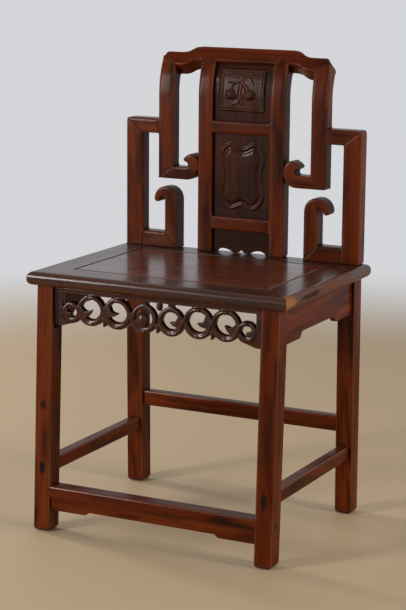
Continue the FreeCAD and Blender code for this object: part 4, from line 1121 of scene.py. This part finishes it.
class Carving:
    """Shells drawn in the front view, which are fused into one carved piece."""

    DOME_POINTS: ClassVar[int] = 9
    BALL_SLICES: ClassVar[int] = 20
    BALL_RINGS: ClassVar[int] = 12
    BLOCK_FACES: ClassVar[tuple[tuple[int, ...], ...]] = (
        (0, 1, 3, 2), (4, 6, 7, 5), (0, 4, 5, 1), (2, 3, 7, 6), (0, 2, 6, 4), (1, 5, 7, 3),
    )

    def __init__(self, name: str) -> None:
        """Start an empty carving.

        Args:
            name: name of the carved piece.
        """
        self.name = name
        self.spots: list[np.ndarray] = []
        self.faces: list[tuple[int, ...]] = []
        self.count = 0

    def add(self, spots: np.ndarray, faces: Iterable[Sequence[int]]) -> None:
        """Add one closed shell.

        Args:
            spots: its points.
            faces: its faces, by the numbers of their points.
        """
        self.faces += [tuple(self.count + index for index in face) for face in faces]
        self.spots.append(spots)
        self.count += len(spots)

    def slab(self, low: Sequence[float], high: Sequence[float]) -> None:
        """Add a square-edged block between two corners."""
        self.add(np.array(list(product(*zip(low, high)))), self.BLOCK_FACES)

    def ball(self, centre: Sequence[float], radii: Sequence[float]) -> None:
        """Add an ellipsoid.

        Args:
            centre: its middle.
            radii: its three half sizes.
        """
        work = bmesh.new()
        slices, rings = self.BALL_SLICES, self.BALL_RINGS
        bmesh.ops.create_uvsphere(work, u_segments=slices, v_segments=rings, radius=1.0)
        place = Matrix.Translation(centre) @ Matrix.Diagonal((*radii, 1.0))
        bmesh.ops.transform(work, matrix=place, verts=work.verts)
        work.verts.index_update()
        spots = np.array([vertex.co for vertex in work.verts])
        faces = [[vertex.index for vertex in face.verts] for face in work.faces]
        work.free()
        self.add(spots, faces)

    def band(
        self, path: np.ndarray, half_width: Any, rear: float, shoulder: float, crest: Any,
        closed: bool = False,
    ) -> None:
        """Sweep a round-topped section along a path in the front view.

        Args:
            path: points, each a place from side to side and a height.
            half_width: half the section's width, one for all or one for each point.
            rear: depth of the section's back.
            shoulder: depth where its sides end and its round top begins.
            crest: depth of its top, one for all or one for each point.
            closed: whether the path runs round.
        """
        count = len(path)
        wide = np.broadcast_to(half_width, count)
        top = np.broadcast_to(crest, count)
        if closed:
            tangent = np.roll(path, -1, axis=0) - np.roll(path, 1, axis=0)
        else:
            tangent = np.gradient(path, axis=0)
        tangent /= np.linalg.norm(tangent, axis=1)[:, None]
        normal = np.stack([-tangent[:, 1], tangent[:, 0]], axis=1)
        turns = np.linspace(0.0, math.pi, self.DOME_POINTS)
        across = np.concatenate([[-1.0], -np.cos(turns), [1.0]])
        lift = np.concatenate([[0.0], np.sin(turns), [0.0]])
        spots = np.zeros((count, len(across), 3))
        spots[:, :, 0] = path[:, :1] + normal[:, :1] * wide[:, None] * across
        spots[:, :, 2] = path[:, 1:] + normal[:, 1:] * wide[:, None] * across
        spots[:, :, 1] = shoulder + (top[:, None] - shoulder) * lift
        spots[:, (0, -1), 1] = rear
        rings = np.arange(count * len(across)).reshape(count, -1)
        here, there = (rings, np.roll(rings, -1, axis=0)) if closed else (rings[:-1], rings[1:])
        corners = (here, np.roll(here, -1, axis=1), np.roll(there, -1, axis=1), there)
        faces = np.stack(corners, axis=-1).reshape(-1, 4).tolist()
        if not closed:
            faces += [rings[0, ::-1].tolist(), rings[-1].tolist()]
        self.add(spots.reshape(-1, 3), faces)

    def plate(self, outline: np.ndarray, rear: float, front: float) -> None:
        """Add a flat plate with a curved outline.

        Args:
            outline: points of the outline in the front view.
            rear: depth of its back.
            front: depth of its face.
        """
        count = len(outline)
        spots = np.zeros((2 * count, 3))
        spots[:, (0, 2)] = np.vstack([outline, outline])
        spots[:count, 1] = rear
        spots[count:, 1] = front
        faces = [(i, (i + 1) % count, count + (i + 1) % count, count + i) for i in range(count)]
        self.add(spots, [*faces, tuple(range(count))[::-1], tuple(range(count, 2 * count))])

    def fused(self, bench: Bench, voxel: float, smoothing: int) -> bpy.types.Object:
        """Fuse the shells into one skin and mark its worn ridges.

        Args:
            bench: bench that settles the piece.
            voxel: fineness of the skin.
            smoothing: rounds of smoothing.

        Returns:
            The carved piece.
        """
        piece = Bench.shell(self.name, np.concatenate(self.spots), self.faces)
        skin = bench.skinned(piece, voxel)
        skin.rub(smoothing)
        bench.write_worn(piece.data, skin.ridges(voxel))
        return piece


@dataclass(frozen=True)
class Member:
    """A plain piece of wood: its node, the way its grain runs and the round of its edges."""

    node: str
    grain: Grain
    edge_round: float
    finish: Finish = FRAME_POLISH
    slot: Slot = Slot.FRAME
    foot_round: float = 0.0


@dataclass
class SubAssembly(ABC):
    """A group of pieces that are built and dressed together."""

    bench: Bench
    pieces: list[bpy.types.Object] = field(default_factory=list)

    @abstractmethod
    def build(self) -> None:
        """Make the meshes of the pieces and dress them."""

    def dress(self, piece: bpy.types.Object, member: Member) -> None:
        """Give a piece its finish and let it stand for its node.

        Args:
            piece: finished mesh.
            member: what it stands for.
        """
        piece.data.materials.clear()
        piece.data.materials.append(member.finish.material(member.grain))
        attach(piece, BODY)
        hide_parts(member.node)
        self.pieces.append(piece)

    def plain(self, members: Iterable[Member]) -> None:
        """Build and dress pieces whose shape is that of their solids.

        Args:
            members: the pieces.
        """
        for member in members:
            name = f"{member.node}_wood"
            piece = self.bench.eased(member.node, name, member.edge_round, member.foot_round)
            self.dress(piece, member)

    def worn_round(self, members: Iterable[Member]) -> None:
        """Build and dress pieces whose edges are all rubbed round.

        Args:
            members: the pieces.
        """
        for member in members:
            piece = self.bench.rubbed(member.node, f"{member.node}_wood", member.edge_round)
            self.dress(piece, member)

    def report(self) -> None:
        """Log each piece with its number of faces."""
        for piece in self.pieces:
            LOG.info("%s: %s, %d faces", type(self).__name__, piece.name, len(piece.data.polygons))


@dataclass
class Underframe(SubAssembly):
    """Legs, stretchers and the plain aprons."""

    leg_round: float = 0.0040
    foot_round: float = 0.0075
    stretcher_round: float = 0.0035
    board_round: float = 0.0018

    def build(self) -> None:
        """Make the legs, stretchers and boards."""
        members = []
        for side in SIDES:
            for end in ENDS:
                leg = Member(f"{end}_{side}_leg", Grain.UPRIGHT, self.leg_round, foot_round=self.foot_round)
                members.append(leg)
            members.append(Member(f"{side}_stretcher", Grain.FORE_AND_AFT, self.stretcher_round))
            members.append(Member(f"{side}_apron", Grain.FORE_AND_AFT, self.board_round))
        for end in ENDS:
            members.append(Member(f"{end}_stretcher", Grain.ACROSS, self.stretcher_round))
        for board in ("back_apron", "front_stretcher_apron"):
            members.append(Member(board, Grain.ACROSS, self.board_round))
        self.plain(members)


@dataclass
class Seat(SubAssembly):
    """Mitred frame, floating panel and the battens below it."""

    rail_round: float = 0.0016
    panel_round: float = 0.0032
    batten_round: float = 0.0015

    def build(self) -> None:
        """Make the rails, the panel and the battens."""
        members = []
        for end in ENDS:
            members.append(Member(f"seat_{end}_rail", Grain.ACROSS, self.rail_round, RAIL_POLISH))
        members.append(Member("seat_panel", Grain.ACROSS, self.panel_round, PANEL_POLISH, Slot.PANEL))
        for side, polish in zip(SIDES, (RAIL_POLISH, WORN_RAIL_POLISH)):
            members.append(Member(f"seat_{side}_rail", Grain.FORE_AND_AFT, self.rail_round, polish))
            members.append(Member(f"seat_{side}_batten", Grain.FORE_AND_AFT, self.batten_round))
        self.plain(members)


@dataclass
class MeanderBack(SubAssembly):
    """The stepped frame of the back with its hooks, scrolls and crest."""

    member_round: float = 0.0050
    curl_round: float = 0.0042

    def build(self) -> None:
        """Make the members either side of the splat and the crest."""
        members = [Member("crest_rail", Grain.ACROSS, self.curl_round)]
        for side in SIDES:
            for post in ("outer_stile", "upper_stile"):
                members.append(Member(f"{side}_{post}", Grain.UPRIGHT, self.member_round))
            for rail in ("shoulder_rail", "foot_rail"):
                members.append(Member(f"{side}_{rail}", Grain.ACROSS, self.member_round))
            members.append(Member(f"{side}_upper_hook", Grain.ACROSS, self.curl_round))
            members.append(Member(f"{side}_lower_scroll", Grain.UPRIGHT, self.curl_round))
        self.worn_round(members)


@dataclass
class Splat(SubAssembly):
    """Stiles and rails of the splat, its two carved panels and its scalloped foot."""

    stile_round: float = 0.0050
    rail_round: float = 0.0045
    foot_round: float = 0.0012
    panel_inset: float = 0.0008
    ground_place: float = 0.055
    tablet_half: float = 0.0485
    tablet_shift: float = -0.0025
    tablet_margin: float = 0.021
    tablet_height: float = 0.0795
    border: float = 0.0085
    tablet_ground: float = 0.0018
    stem: float = 0.0017
    leaf: float = 0.0038
    relief: float = 0.0030
    fruit_relief: float = 0.0064
    pit: float = 0.00030
    rib: float = stem / 3
    rib_depth: float = relief / 5
    cleft: float = stem / 2
    cleft_depth: float = relief / 3
    leaf_tip: float = 0.15
    leaf_fullness: float = 0.8
    step: float = 0.0006
    tablet_smoothing: int = 2
    cartouche_smoothing: int = 6

    RIB_TRIM: ClassVar[slice] = slice(2, -2)
    BEND_SAMPLES: ClassVar[int] = 30
    TABLET_SECTION: ClassVar[tuple[Point, ...]] = (
        (-0.0018, 0.0), (0.0, 0.0026), (0.0012, 0.0036), (0.0024, 0.0032), (0.0034, 0.0022),
        (0.0046, 0.0022), (0.0056, 0.0034), (0.0068, 0.0034), (0.0085, 0.0018),
    )
    SPRIG_STEMS: ClassVar[tuple[tuple[Point, ...], ...]] = (
        ((0.10, 0.86), (0.00, 0.42), (-0.08, -0.40)),
        ((0.04, 0.56), (-0.28, 0.44), (-0.72, 0.46)),
        ((-0.40, 0.45), (-0.52, 0.24), (-0.56, 0.00)),
        ((0.04, 0.50), (0.20, 0.30), (0.34, -0.02)),
        ((-0.08, -0.40), (-0.02, -0.60), (0.04, -0.84)),
    )
    SPRIG_LEAVES: ClassVar[tuple[tuple[Point, ...], ...]] = (
        ((-0.14, 0.28), (-0.26, -0.04), (-0.18, -0.46)),
        ((0.08, 0.22), (0.10, -0.10), (0.00, -0.48)),
        ((0.14, 0.66), (0.38, 0.68), (0.66, 0.36)),
        ((-0.10, -0.62), (-0.34, -0.78), (-0.66, -0.76)),
    )
    FRUITS: ClassVar[tuple[tuple[Point, Point, Point, Point], ...]] = (
        ((-0.58, -0.27), (0.31, 0.34), (-0.70, -0.36), (-0.48, 0.04)),
        ((0.42, -0.27), (0.34, 0.33), (0.22, -0.40), (0.62, -0.10)),
    )
    CARTOUCHE_SHARES: ClassVar[tuple[Point, ...]] = (
        (0.00, 0.64), (0.20, 0.69), (0.36, 0.75), (0.51, 0.72), (0.65, 0.60), (0.73, 0.48),
        (0.74, 0.34), (0.65, 0.10), (0.66, -0.18), (0.74, -0.42), (0.71, -0.57), (0.61, -0.67),
        (0.48, -0.76), (0.34, -0.79), (0.18, -0.75),
    )
    CARTOUCHE_FOOT: ClassVar[Point] = (0.0, -0.70)
    CARTOUCHE_SECTION: ClassVar[tuple[Point, ...]] = (
        (-0.0026, 0.0), (-0.0012, 0.0018), (0.0, 0.0030), (0.0012, 0.0028), (0.0032, 0.0012),
        (0.0058, 0.0004), (0.0085, 0.0010), (0.0115, 0.0024), (0.0140, 0.0029), (0.0320, 0.0034),
    )

    def build(self) -> None:
        """Make the frame of the splat, its panels and its foot."""
        members = [Member(f"{side}_splat_stile", Grain.UPRIGHT, self.stile_round) for side in SIDES]
        for rail in ("splat_middle_rail", "splat_lower_rail"):
            members.append(Member(rail, Grain.ACROSS, self.rail_round))
        self.worn_round(members)
        # the foot board's finish carries painted shade
        self.plain([Member("splat_apron", Grain.ACROSS, self.foot_round, SHADED_FOOT_POLISH, Slot.CARVED)])
        for node, carve in (("splat_upper_panel", self.tablet), ("splat_lower_panel", self.cartouche)):
            member = Member(node, Grain.UPRIGHT, self.foot_round, SPLAT_POLISH, Slot.CARVED)
            low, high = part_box(node)
            edge = self.panel_inset
            relief = Relief((low.x + edge, low.z + edge), (high.x - edge, high.z - edge), self.step)
            smoothing = carve(relief)
            self.dress(self.seated(relief, node, smoothing), member)

    def tablet(self, relief: Relief) -> int:
        """Carve the square tablet with a sprig of two fruits.

        Args:
            relief: face of the panel.

        Returns:
            How often it is smoothed.
        """
        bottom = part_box("splat_middle_rail")[1].z + self.tablet_margin
        half = np.array([self.tablet_half, self.tablet_height / 2])
        middle = np.array([self.tablet_shift, bottom + half[1]])
        corners = middle + half * np.array([(-1, -1), (1, -1), (1, 1), (-1, 1)])
        inside = relief.inside(corners)
        relief.profile(inside, self.TABLET_SECTION)
        relief.stippled(inside > self.border, self.pit)
        spread = half - self.border
        base = self.tablet_ground / 2
        for points in self.SPRIG_STEMS:
            path = flowing(middle + spread * np.array(points))
            relief.swell(relief.away(path, self.stem), base, self.relief)
        for points in self.SPRIG_LEAVES:
            path = flowing(middle + spread * np.array(points))
            along = np.linspace(0.0, 1.0, len(path))
            fullness = np.sin(math.pi * along ** self.leaf_fullness)
            wide = self.leaf * (self.leaf_tip + (1.0 - self.leaf_tip) * fullness)
            relief.swell(relief.away(path, wide), base, self.relief)
            relief.cut(path[self.RIB_TRIM], self.rib, self.rib_depth)
        for place, radii, *cleft in self.FRUITS:
            offset = (relief.grid - middle) / spread - np.array(place)
            relief.swell(np.linalg.norm(offset / np.array(radii), axis=-1), base, self.fruit_relief)
            relief.cut(middle + spread * np.array(cleft), self.cleft, self.cleft_depth)
        return self.tablet_smoothing

    def cartouche(self, relief: Relief) -> int:
        """Carve the lobed cartouche: a rim, a hollow moulding and a crowned field.

        Args:
            relief: face of the panel.

        Returns:
            How often it is smoothed.
        """
        low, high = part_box("splat_lower_rail")[1].z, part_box("splat_middle_rail")[0].z
        half = np.array([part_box("right_splat_stile")[0].x, (high - low) / 2])
        middle = np.array([0.0, (low + high) / 2])
        right = list(self.CARTOUCHE_SHARES)
        left = [(-x, z) for x, z in reversed(right[1:])]
        outline = flowing(middle + half * np.array([*right, self.CARTOUCHE_FOOT, *left]), closed=True)
        relief.profile(relief.inside(outline), self.CARTOUCHE_SECTION)
        return self.cartouche_smoothing

    def seated(self, relief: Relief, node: str, smoothing: int) -> bpy.types.Object:
        """Make a carved panel and bend it to the curve of the back.

        Args:
            relief: its face.
            node: node it stands for.
            smoothing: how often it is smoothed.

        Returns:
            The panel in its place.
        """
        low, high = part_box(node)
        middle = [(low.z + high.z) / 2]
        front, rear = (self.bench.depths(node, self.ground_place, middle, way)[0] for way in (1.0, -1.0))
        piece = relief.panel(f"{node}_carved", rear - front)
        skin = Skin(piece.data)
        face = np.arange(len(skin.spots)) < relief.height.size
        skin.rub(smoothing, face[:, None])
        self.bench.write_worn(piece.data, np.where(face, skin.ridges(self.step), 0.0))
        inset = 2 * self.step
        heights = np.linspace(low.z + inset, high.z - inset, self.BEND_SAMPLES)
        depths = self.bench.depths(node, self.ground_place, heights)
        skin.spots[:, 1] += np.interp(skin.spots[:, 2], heights, depths)
        skin.write()
        self.bench.smooth(piece)
        return piece


@dataclass(frozen=True)
class Ring:
    """One ring of the front apron: its middle, its radius, that of its hole and the turn of its curl."""

    x: float
    z: float
    radius: float
    hole: float
    curl_turn: float

    def around(self, degrees: Sequence[float], half_width: Any) -> np.ndarray:
        """Give places along the middle of its band.

        Args:
            degrees: turns of the places from the horizontal.
            half_width: half the band's width, one for all or one for each place.

        Returns:
            The places.
        """
        turns = np.radians(degrees)
        way = np.stack([np.cos(turns), np.sin(turns)], axis=1)
        reach = np.broadcast_to(self.radius - half_width, len(turns))
        return np.array([self.x, self.z]) + way * reach[:, None]

    def inner(self, shares: Sequence[Point], turn: float = 0.0) -> np.ndarray:
        """Give places inside its hole.

        Args:
            shares: places in shares of the hole's radius.
            turn: how far they are turned about the ring's middle, in degrees.

        Returns:
            The places.
        """
        cos, sin = math.cos(math.radians(turn)), math.sin(math.radians(turn))
        turned = np.array(shares) @ np.array([(cos, sin), (-sin, cos)])
        return np.array([self.x, self.z]) + turned * self.hole


@dataclass
class ScrollApron(SubAssembly):
    """The pierced front apron: a border and a running row of scrolls."""

    border: float = 0.011
    end_strip: float = 0.015
    band: float = 0.0095
    bite: float = 0.0015
    bead: float = 0.0019
    bead_set: float = 1.4
    bead_turn: float = 3.0
    border_drop: float = 0.0030
    shoulder_depth: float = 0.0055
    ring_drop: float = 0.0012
    top_drop: float = 0.0026
    swelling: float = 0.42
    curl_drop: float = 0.0016
    stem: float = 0.012
    leaf: float = 0.014
    leaf_rise: float = 0.018
    leaf_lift: float = 0.006
    bud: float = 0.0062
    bud_place: float = 0.004
    bud_stretch: float = 1.4
    tip_share: float = 0.16
    tip_fullness: float = 0.8
    eye_share: float = 0.74
    voxel: float = 0.0008
    smoothing: int = 4
    low: Vector = field(init=False)
    high: Vector = field(init=False)
    half: float = field(init=False)
    base: float = field(init=False)

    RING_POINTS: ClassVar[int] = 48
    TIP_POINTS: ClassVar[int] = 12
    RING_SHARES: ClassVar[tuple[tuple[float, float, float], ...]] = (
        (0.842, 0.097, 0.80), (0.648, 0.139, 0.00), (0.389, 0.139, 0.03), (0.130, 0.127, 0.26),
    )
    CURL_TURNS: ClassVar[tuple[float, ...]] = (24.0, 8.0, 36.0, 28.0)
    CURL_SHARES: ClassVar[tuple[tuple[Point, ...], ...]] = (
        ((1.02, 0.10), (0.50, -0.18), (-0.08, 0.06)),
        ((-0.08, 0.06), (0.10, -0.42), (0.52, -0.90)),
        ((0.52, -0.90), (0.93, -0.53), (1.02, 0.10)),
    )
    EYE_SHARES: ClassVar[Point] = (0.18, -0.12)
    FLOW_START: ClassVar[tuple[float, ...]] = (80.0, 105.0, 130.0, 155.0)
    FLOW_END: ClassVar[tuple[float, ...]] = (-25.0, -50.0, -75.0, -100.0)

    def __post_init__(self) -> None:
        """Find the apron's corners, half the width between the legs and the lower edge of its border."""
        self.low, self.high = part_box("front_apron")
        self.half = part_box("front_right_leg")[0].x
        self.base = self.high.z - self.border

    def build(self) -> None:
        """Carve the apron, one half and then its twin."""
        rings = []
        for (place_share, radius_share, drop_share), turn in zip(self.RING_SHARES, self.CURL_TURNS):
            radius = radius_share * self.half
            height = self.base + self.bite - radius * (1.0 + drop_share)
            rings.append(Ring(place_share * self.half, height, radius, radius - self.band, turn))
        carving = Carving("front_apron_carved")
        carving.slab((self.low.x, self.low.y + self.border_drop, self.base), self.high)
        for side in (-1.0, 1.0):
            self.edge(carving, rings[0], side)
            self.scrolls(carving, rings, side)
        self.tips(carving, rings)
        piece = carving.fused(self.bench, self.voxel, self.smoothing)
        # the apron's finish carries painted shade from the seat above it
        self.dress(piece, Member("front_apron", Grain.ACROSS, self.bead, SHADED_CARVED_POLISH, Slot.CARVED))

    def edge(self, carving: Carving, ring: Ring, side: float) -> None:
        """Make one end strip, its filled lower corner and half of the raised bead.

        Args:
            carving: carving to add to.
            ring: the ring next to the strip.
            side: -1 on the left half, 1 on the right.
        """
        mirror = (side, 1.0)
        face = self.low.y + self.border_drop
        inner = self.half - self.end_strip
        ends = sorted((side * inner, side * self.high.x))
        carving.slab((ends[0], face, self.low.z), (ends[1], self.high.y, self.high.z))
        corner = [(ring.x, ring.z), (ring.x, ring.z - ring.radius), (inner, self.low.z), (inner, ring.z)]
        carving.plate(np.array(corner) * mirror, self.high.y, face)
        x, top = self.half - self.bead, self.high.z - self.bead_set * self.bead
        turn = self.bead_turn * self.bead
        bend = [(x, top - turn), (x - self.bead, top - self.bead), (x - turn, top)]
        line = flowing([(x, self.low.z + self.bead), *bend, (0.0, top)]) * mirror
        carving.band(line, self.bead, self.high.y, face, self.low.y)

    def scrolls(self, carving: Carving, rings: list[Ring], side: float) -> None:
        """Make the rings of one half, the curls inside them and the stems that flow from ring to ring.

        Args:
            carving: carving to add to.
            rings: rings of the right half, from the leg to the middle.
            side: -1 on the left half, 1 on the right.
        """
        mirror = (side, 1.0)
        shoulder = self.low.y + self.shoulder_depth
        half_band = self.band / 2
        turns = np.linspace(0.0, 360.0, self.RING_POINTS, endpoint=False)
        upward = np.sin(np.radians(turns))
        wide = half_band * (1.0 + self.swelling * np.clip(-upward, 0.0, None))
        crest = self.low.y + self.ring_drop + self.top_drop * np.clip(upward, 0.0, None) ** 2
        for ring in rings:
            path = ring.around(turns, wide) * mirror
            carving.band(path, wide, self.high.y, shoulder, crest, closed=True)
            if side < 0.0 and ring is rings[-1]:
                place = ring.inner([self.EYE_SHARES])[0] * mirror
                reach, deep = self.eye_share * ring.hole, (self.high.y - self.low.y) / 2
                carving.ball((place[0], self.low.y + deep, place[1]), (reach, deep, reach))
                continue
            sides = [flowing(ring.inner(points, ring.curl_turn))[:-1] for points in self.CURL_SHARES]
            carving.plate(np.concatenate(sides) * mirror, self.high.y, self.low.y + self.curl_drop)
        for ring, following in zip(rings, rings[1:]):
            ends = (ring.around(self.FLOW_START, half_band), following.around(self.FLOW_END, half_band))
            path = flowing(np.concatenate(ends)) * mirror
            carving.band(path, half_band, self.high.y, shoulder, self.low.y)
        stem_top = self.low.y + self.border_drop + self.bite
        for ring in rings[1:]:
            post = np.array([(ring.x, ring.z + ring.hole), (ring.x, self.base + self.bite)]) * mirror
            carving.band(post, self.stem / 2, self.high.y, shoulder, stem_top)

    def tips(self, carving: Carving, rings: list[Ring]) -> None:
        """Make the leaf tips that hang between the rings and the bud in the middle.

        Args:
            carving: carving to add to.
            rings: rings of the right half, from the leg to the middle.
        """
        shoulder = self.low.y + self.shoulder_depth
        joint = (rings[1].x + rings[2].x) / 2
        rise = np.linspace(1.0, 0.0, self.TIP_POINTS)
        heights = self.low.z + self.leaf_lift + self.leaf_rise * rise
        wide = self.leaf / 2 * (self.tip_share + (1.0 - self.tip_share) * rise ** self.tip_fullness)
        for x in (-joint, 0.0, joint):
            line = np.stack([x + self.bud * rise * (1.0 - rise), heights], axis=1)
            carving.band(line, wide, self.high.y, shoulder, self.low.y + self.ring_drop)
        deep = (self.high.y - self.low.y) / 2
        place = (self.bud_place, self.low.y + deep, self.base - self.bud)
        carving.ball(place, (self.bud, deep, self.bud_stretch * self.bud))


@dataclass(frozen=True)
class Lamp:
    """A soft studio lamp: where it hangs, how large and how strong it is."""

    name: str
    place: Place
    width: float
    height: float
    watts: float
    colour: Colour


@dataclass
class Studio:
    """Pale floor, soft light and the camera of the photograph's view."""

    floor_half: float = 40.0
    floor_drop: float = 0.0004
    floor_near: float = 1.5
    floor_far: float = 2.8
    floor_roughness: float = 0.6
    pale: Colour = (0.60, 0.46, 0.29)
    horizon: Colour = (0.66, 0.67, 0.69)
    horizon_strength: float = 1.0
    sky: Colour = (1.00, 0.97, 0.93)
    sky_strength: float = 0.22
    lamps: tuple[Lamp, ...] = (
        Lamp("key_lamp", (3.1, -0.1, 1.35), 0.6, 1.9, 50.0, (1.0, 0.91, 0.80)),
        Lamp("fill_lamp", (-2.3, -3.25, 1.42), 0.7, 1.8, 86.0, (1.0, 0.97, 0.94)),
        Lamp("rim_lamp", (-3.0, 0.5, 1.25), 0.5, 1.8, 42.0, (1.0, 0.97, 0.94)),
    )
    azimuth: float = 26.831
    elevation: float = 11.668
    roll: float = 0.472
    distance: float = 3.712
    target: Place = (-0.010781, 0.023704, 0.420718)
    focal_pixels: float = 1924.832
    image_height: float = 610.0
    sensor: float = 36.0

    def build(self) -> None:
        """Make the floor, the light and the camera."""
        self.floor()
        self.light()
        self.camera()
        bpy.context.scene.view_settings.view_transform = "Standard"

    def floor(self) -> None:
        """Lay the pale floor, which fades into the backdrop."""
        half, low = self.floor_half, -self.floor_drop
        mesh = bpy.data.meshes.new("floor")
        corners = [(x * half, y * half, low) for x, y in ((-1, -1), (1, -1), (1, 1), (-1, 1))]
        mesh.from_pydata(corners, [], [(0, 1, 2, 3)])
        floor = placed("floor", mesh)
        made = bpy.data.materials.new("pale_floor")
        graph = Graph(made)
        pale = {"Base Color": opaque(self.pale), "Roughness": self.floor_roughness}
        near = graph.node("ShaderNodeBsdfPrincipled", {}, pale)
        far = graph.node("ShaderNodeEmission", {}, self.backdrop())
        away = graph.length(graph.place())
        share = away.between(self.floor_near, self.floor_far) * self.seeing_rays(graph)
        mixed = graph.node("ShaderNodeMixShader", {}, {0: share, 1: near, 2: far})
        graph.node("ShaderNodeOutputMaterial", {}, {"Surface": mixed})
        mesh.materials.append(made)

    def backdrop(self) -> dict[str, Any]:
        """Give the colour and the strength of what is seen behind the chair."""
        return {"Color": opaque(self.horizon), "Strength": self.horizon_strength}

    @staticmethod
    def seeing_rays(graph: Graph) -> Socket:
        """Tell the rays that show the backdrop from those that light the chair.

        Args:
            graph: node tree.

        Returns:
            A value that is 1 for rays that see, straight or in gloss and glass.
        """
        kinds = ("Camera", "Glossy", "Transmission")
        rays = [graph.node("ShaderNodeLightPath", {}, {}, f"Is {kind} Ray") for kind in kinds]
        return sum(rays[1:], start=rays[0])

    def light(self) -> None:
        """Hang the lamps and set the light that comes from all round."""
        for lamp in self.lamps:
            data = bpy.data.lights.new(lamp.name, "AREA")
            data.shape = "RECTANGLE"
            data.size = lamp.width
            data.size_y = lamp.height
            data.energy = lamp.watts
            data.color = lamp.colour
            shown = placed(lamp.name, data)
            shown.location = lamp.place
            aim = Vector(self.target) - Vector(lamp.place)
            shown.rotation_euler = aim.to_track_quat("-Z", "Y").to_euler()
        world = bpy.data.worlds.new("studio")
        bpy.context.scene.world = world
        graph = Graph(world)
        sky = {"Color": opaque(self.sky), "Strength": self.sky_strength}
        soft = graph.node("ShaderNodeBackground", {}, sky)
        seen = graph.node("ShaderNodeBackground", {}, self.backdrop())
        mixed = graph.node("ShaderNodeMixShader", {}, {0: self.seeing_rays(graph), 1: soft, 2: seen})
        graph.node("ShaderNodeOutputWorld", {}, {"Surface": mixed})

    def camera(self) -> None:
        """Place the camera at the photograph's view."""
        azimuth, elevation, roll = (math.radians(turn) for turn in (self.azimuth, self.elevation, self.roll))
        aside, ahead, level_share = math.sin(azimuth), math.cos(azimuth), math.cos(elevation)
        back = Vector((aside * level_share, -ahead * level_share, math.sin(elevation)))
        level = Vector((ahead, aside, 0.0))
        above = back.cross(level)
        right = level * math.cos(roll) + above * math.sin(roll)
        up = above * math.cos(roll) - level * math.sin(roll)
        data = bpy.data.cameras.new("photo_view")
        data.sensor_width = self.sensor
        data.lens = self.focal_pixels / self.image_height * self.sensor
        shown = placed("photo_view", data)
        turn = Matrix((right, up, back)).transposed().to_4x4()
        shown.matrix_world = Matrix.Translation(Vector(self.target) + back * self.distance) @ turn
        bpy.context.scene.camera = shown


def main() -> None:
    """Build the chair piece by piece and set it in the studio."""
    logging.basicConfig(level=logging.INFO, format="%(message)s")
    bench = Bench(frame["nodes"])
    Studio().build()
    for kind in (Underframe, Seat, ScrollApron, MeanderBack, Splat):
        group = kind(bench)
        group.build()
        group.report()


if __name__ == "__main__":
    main()
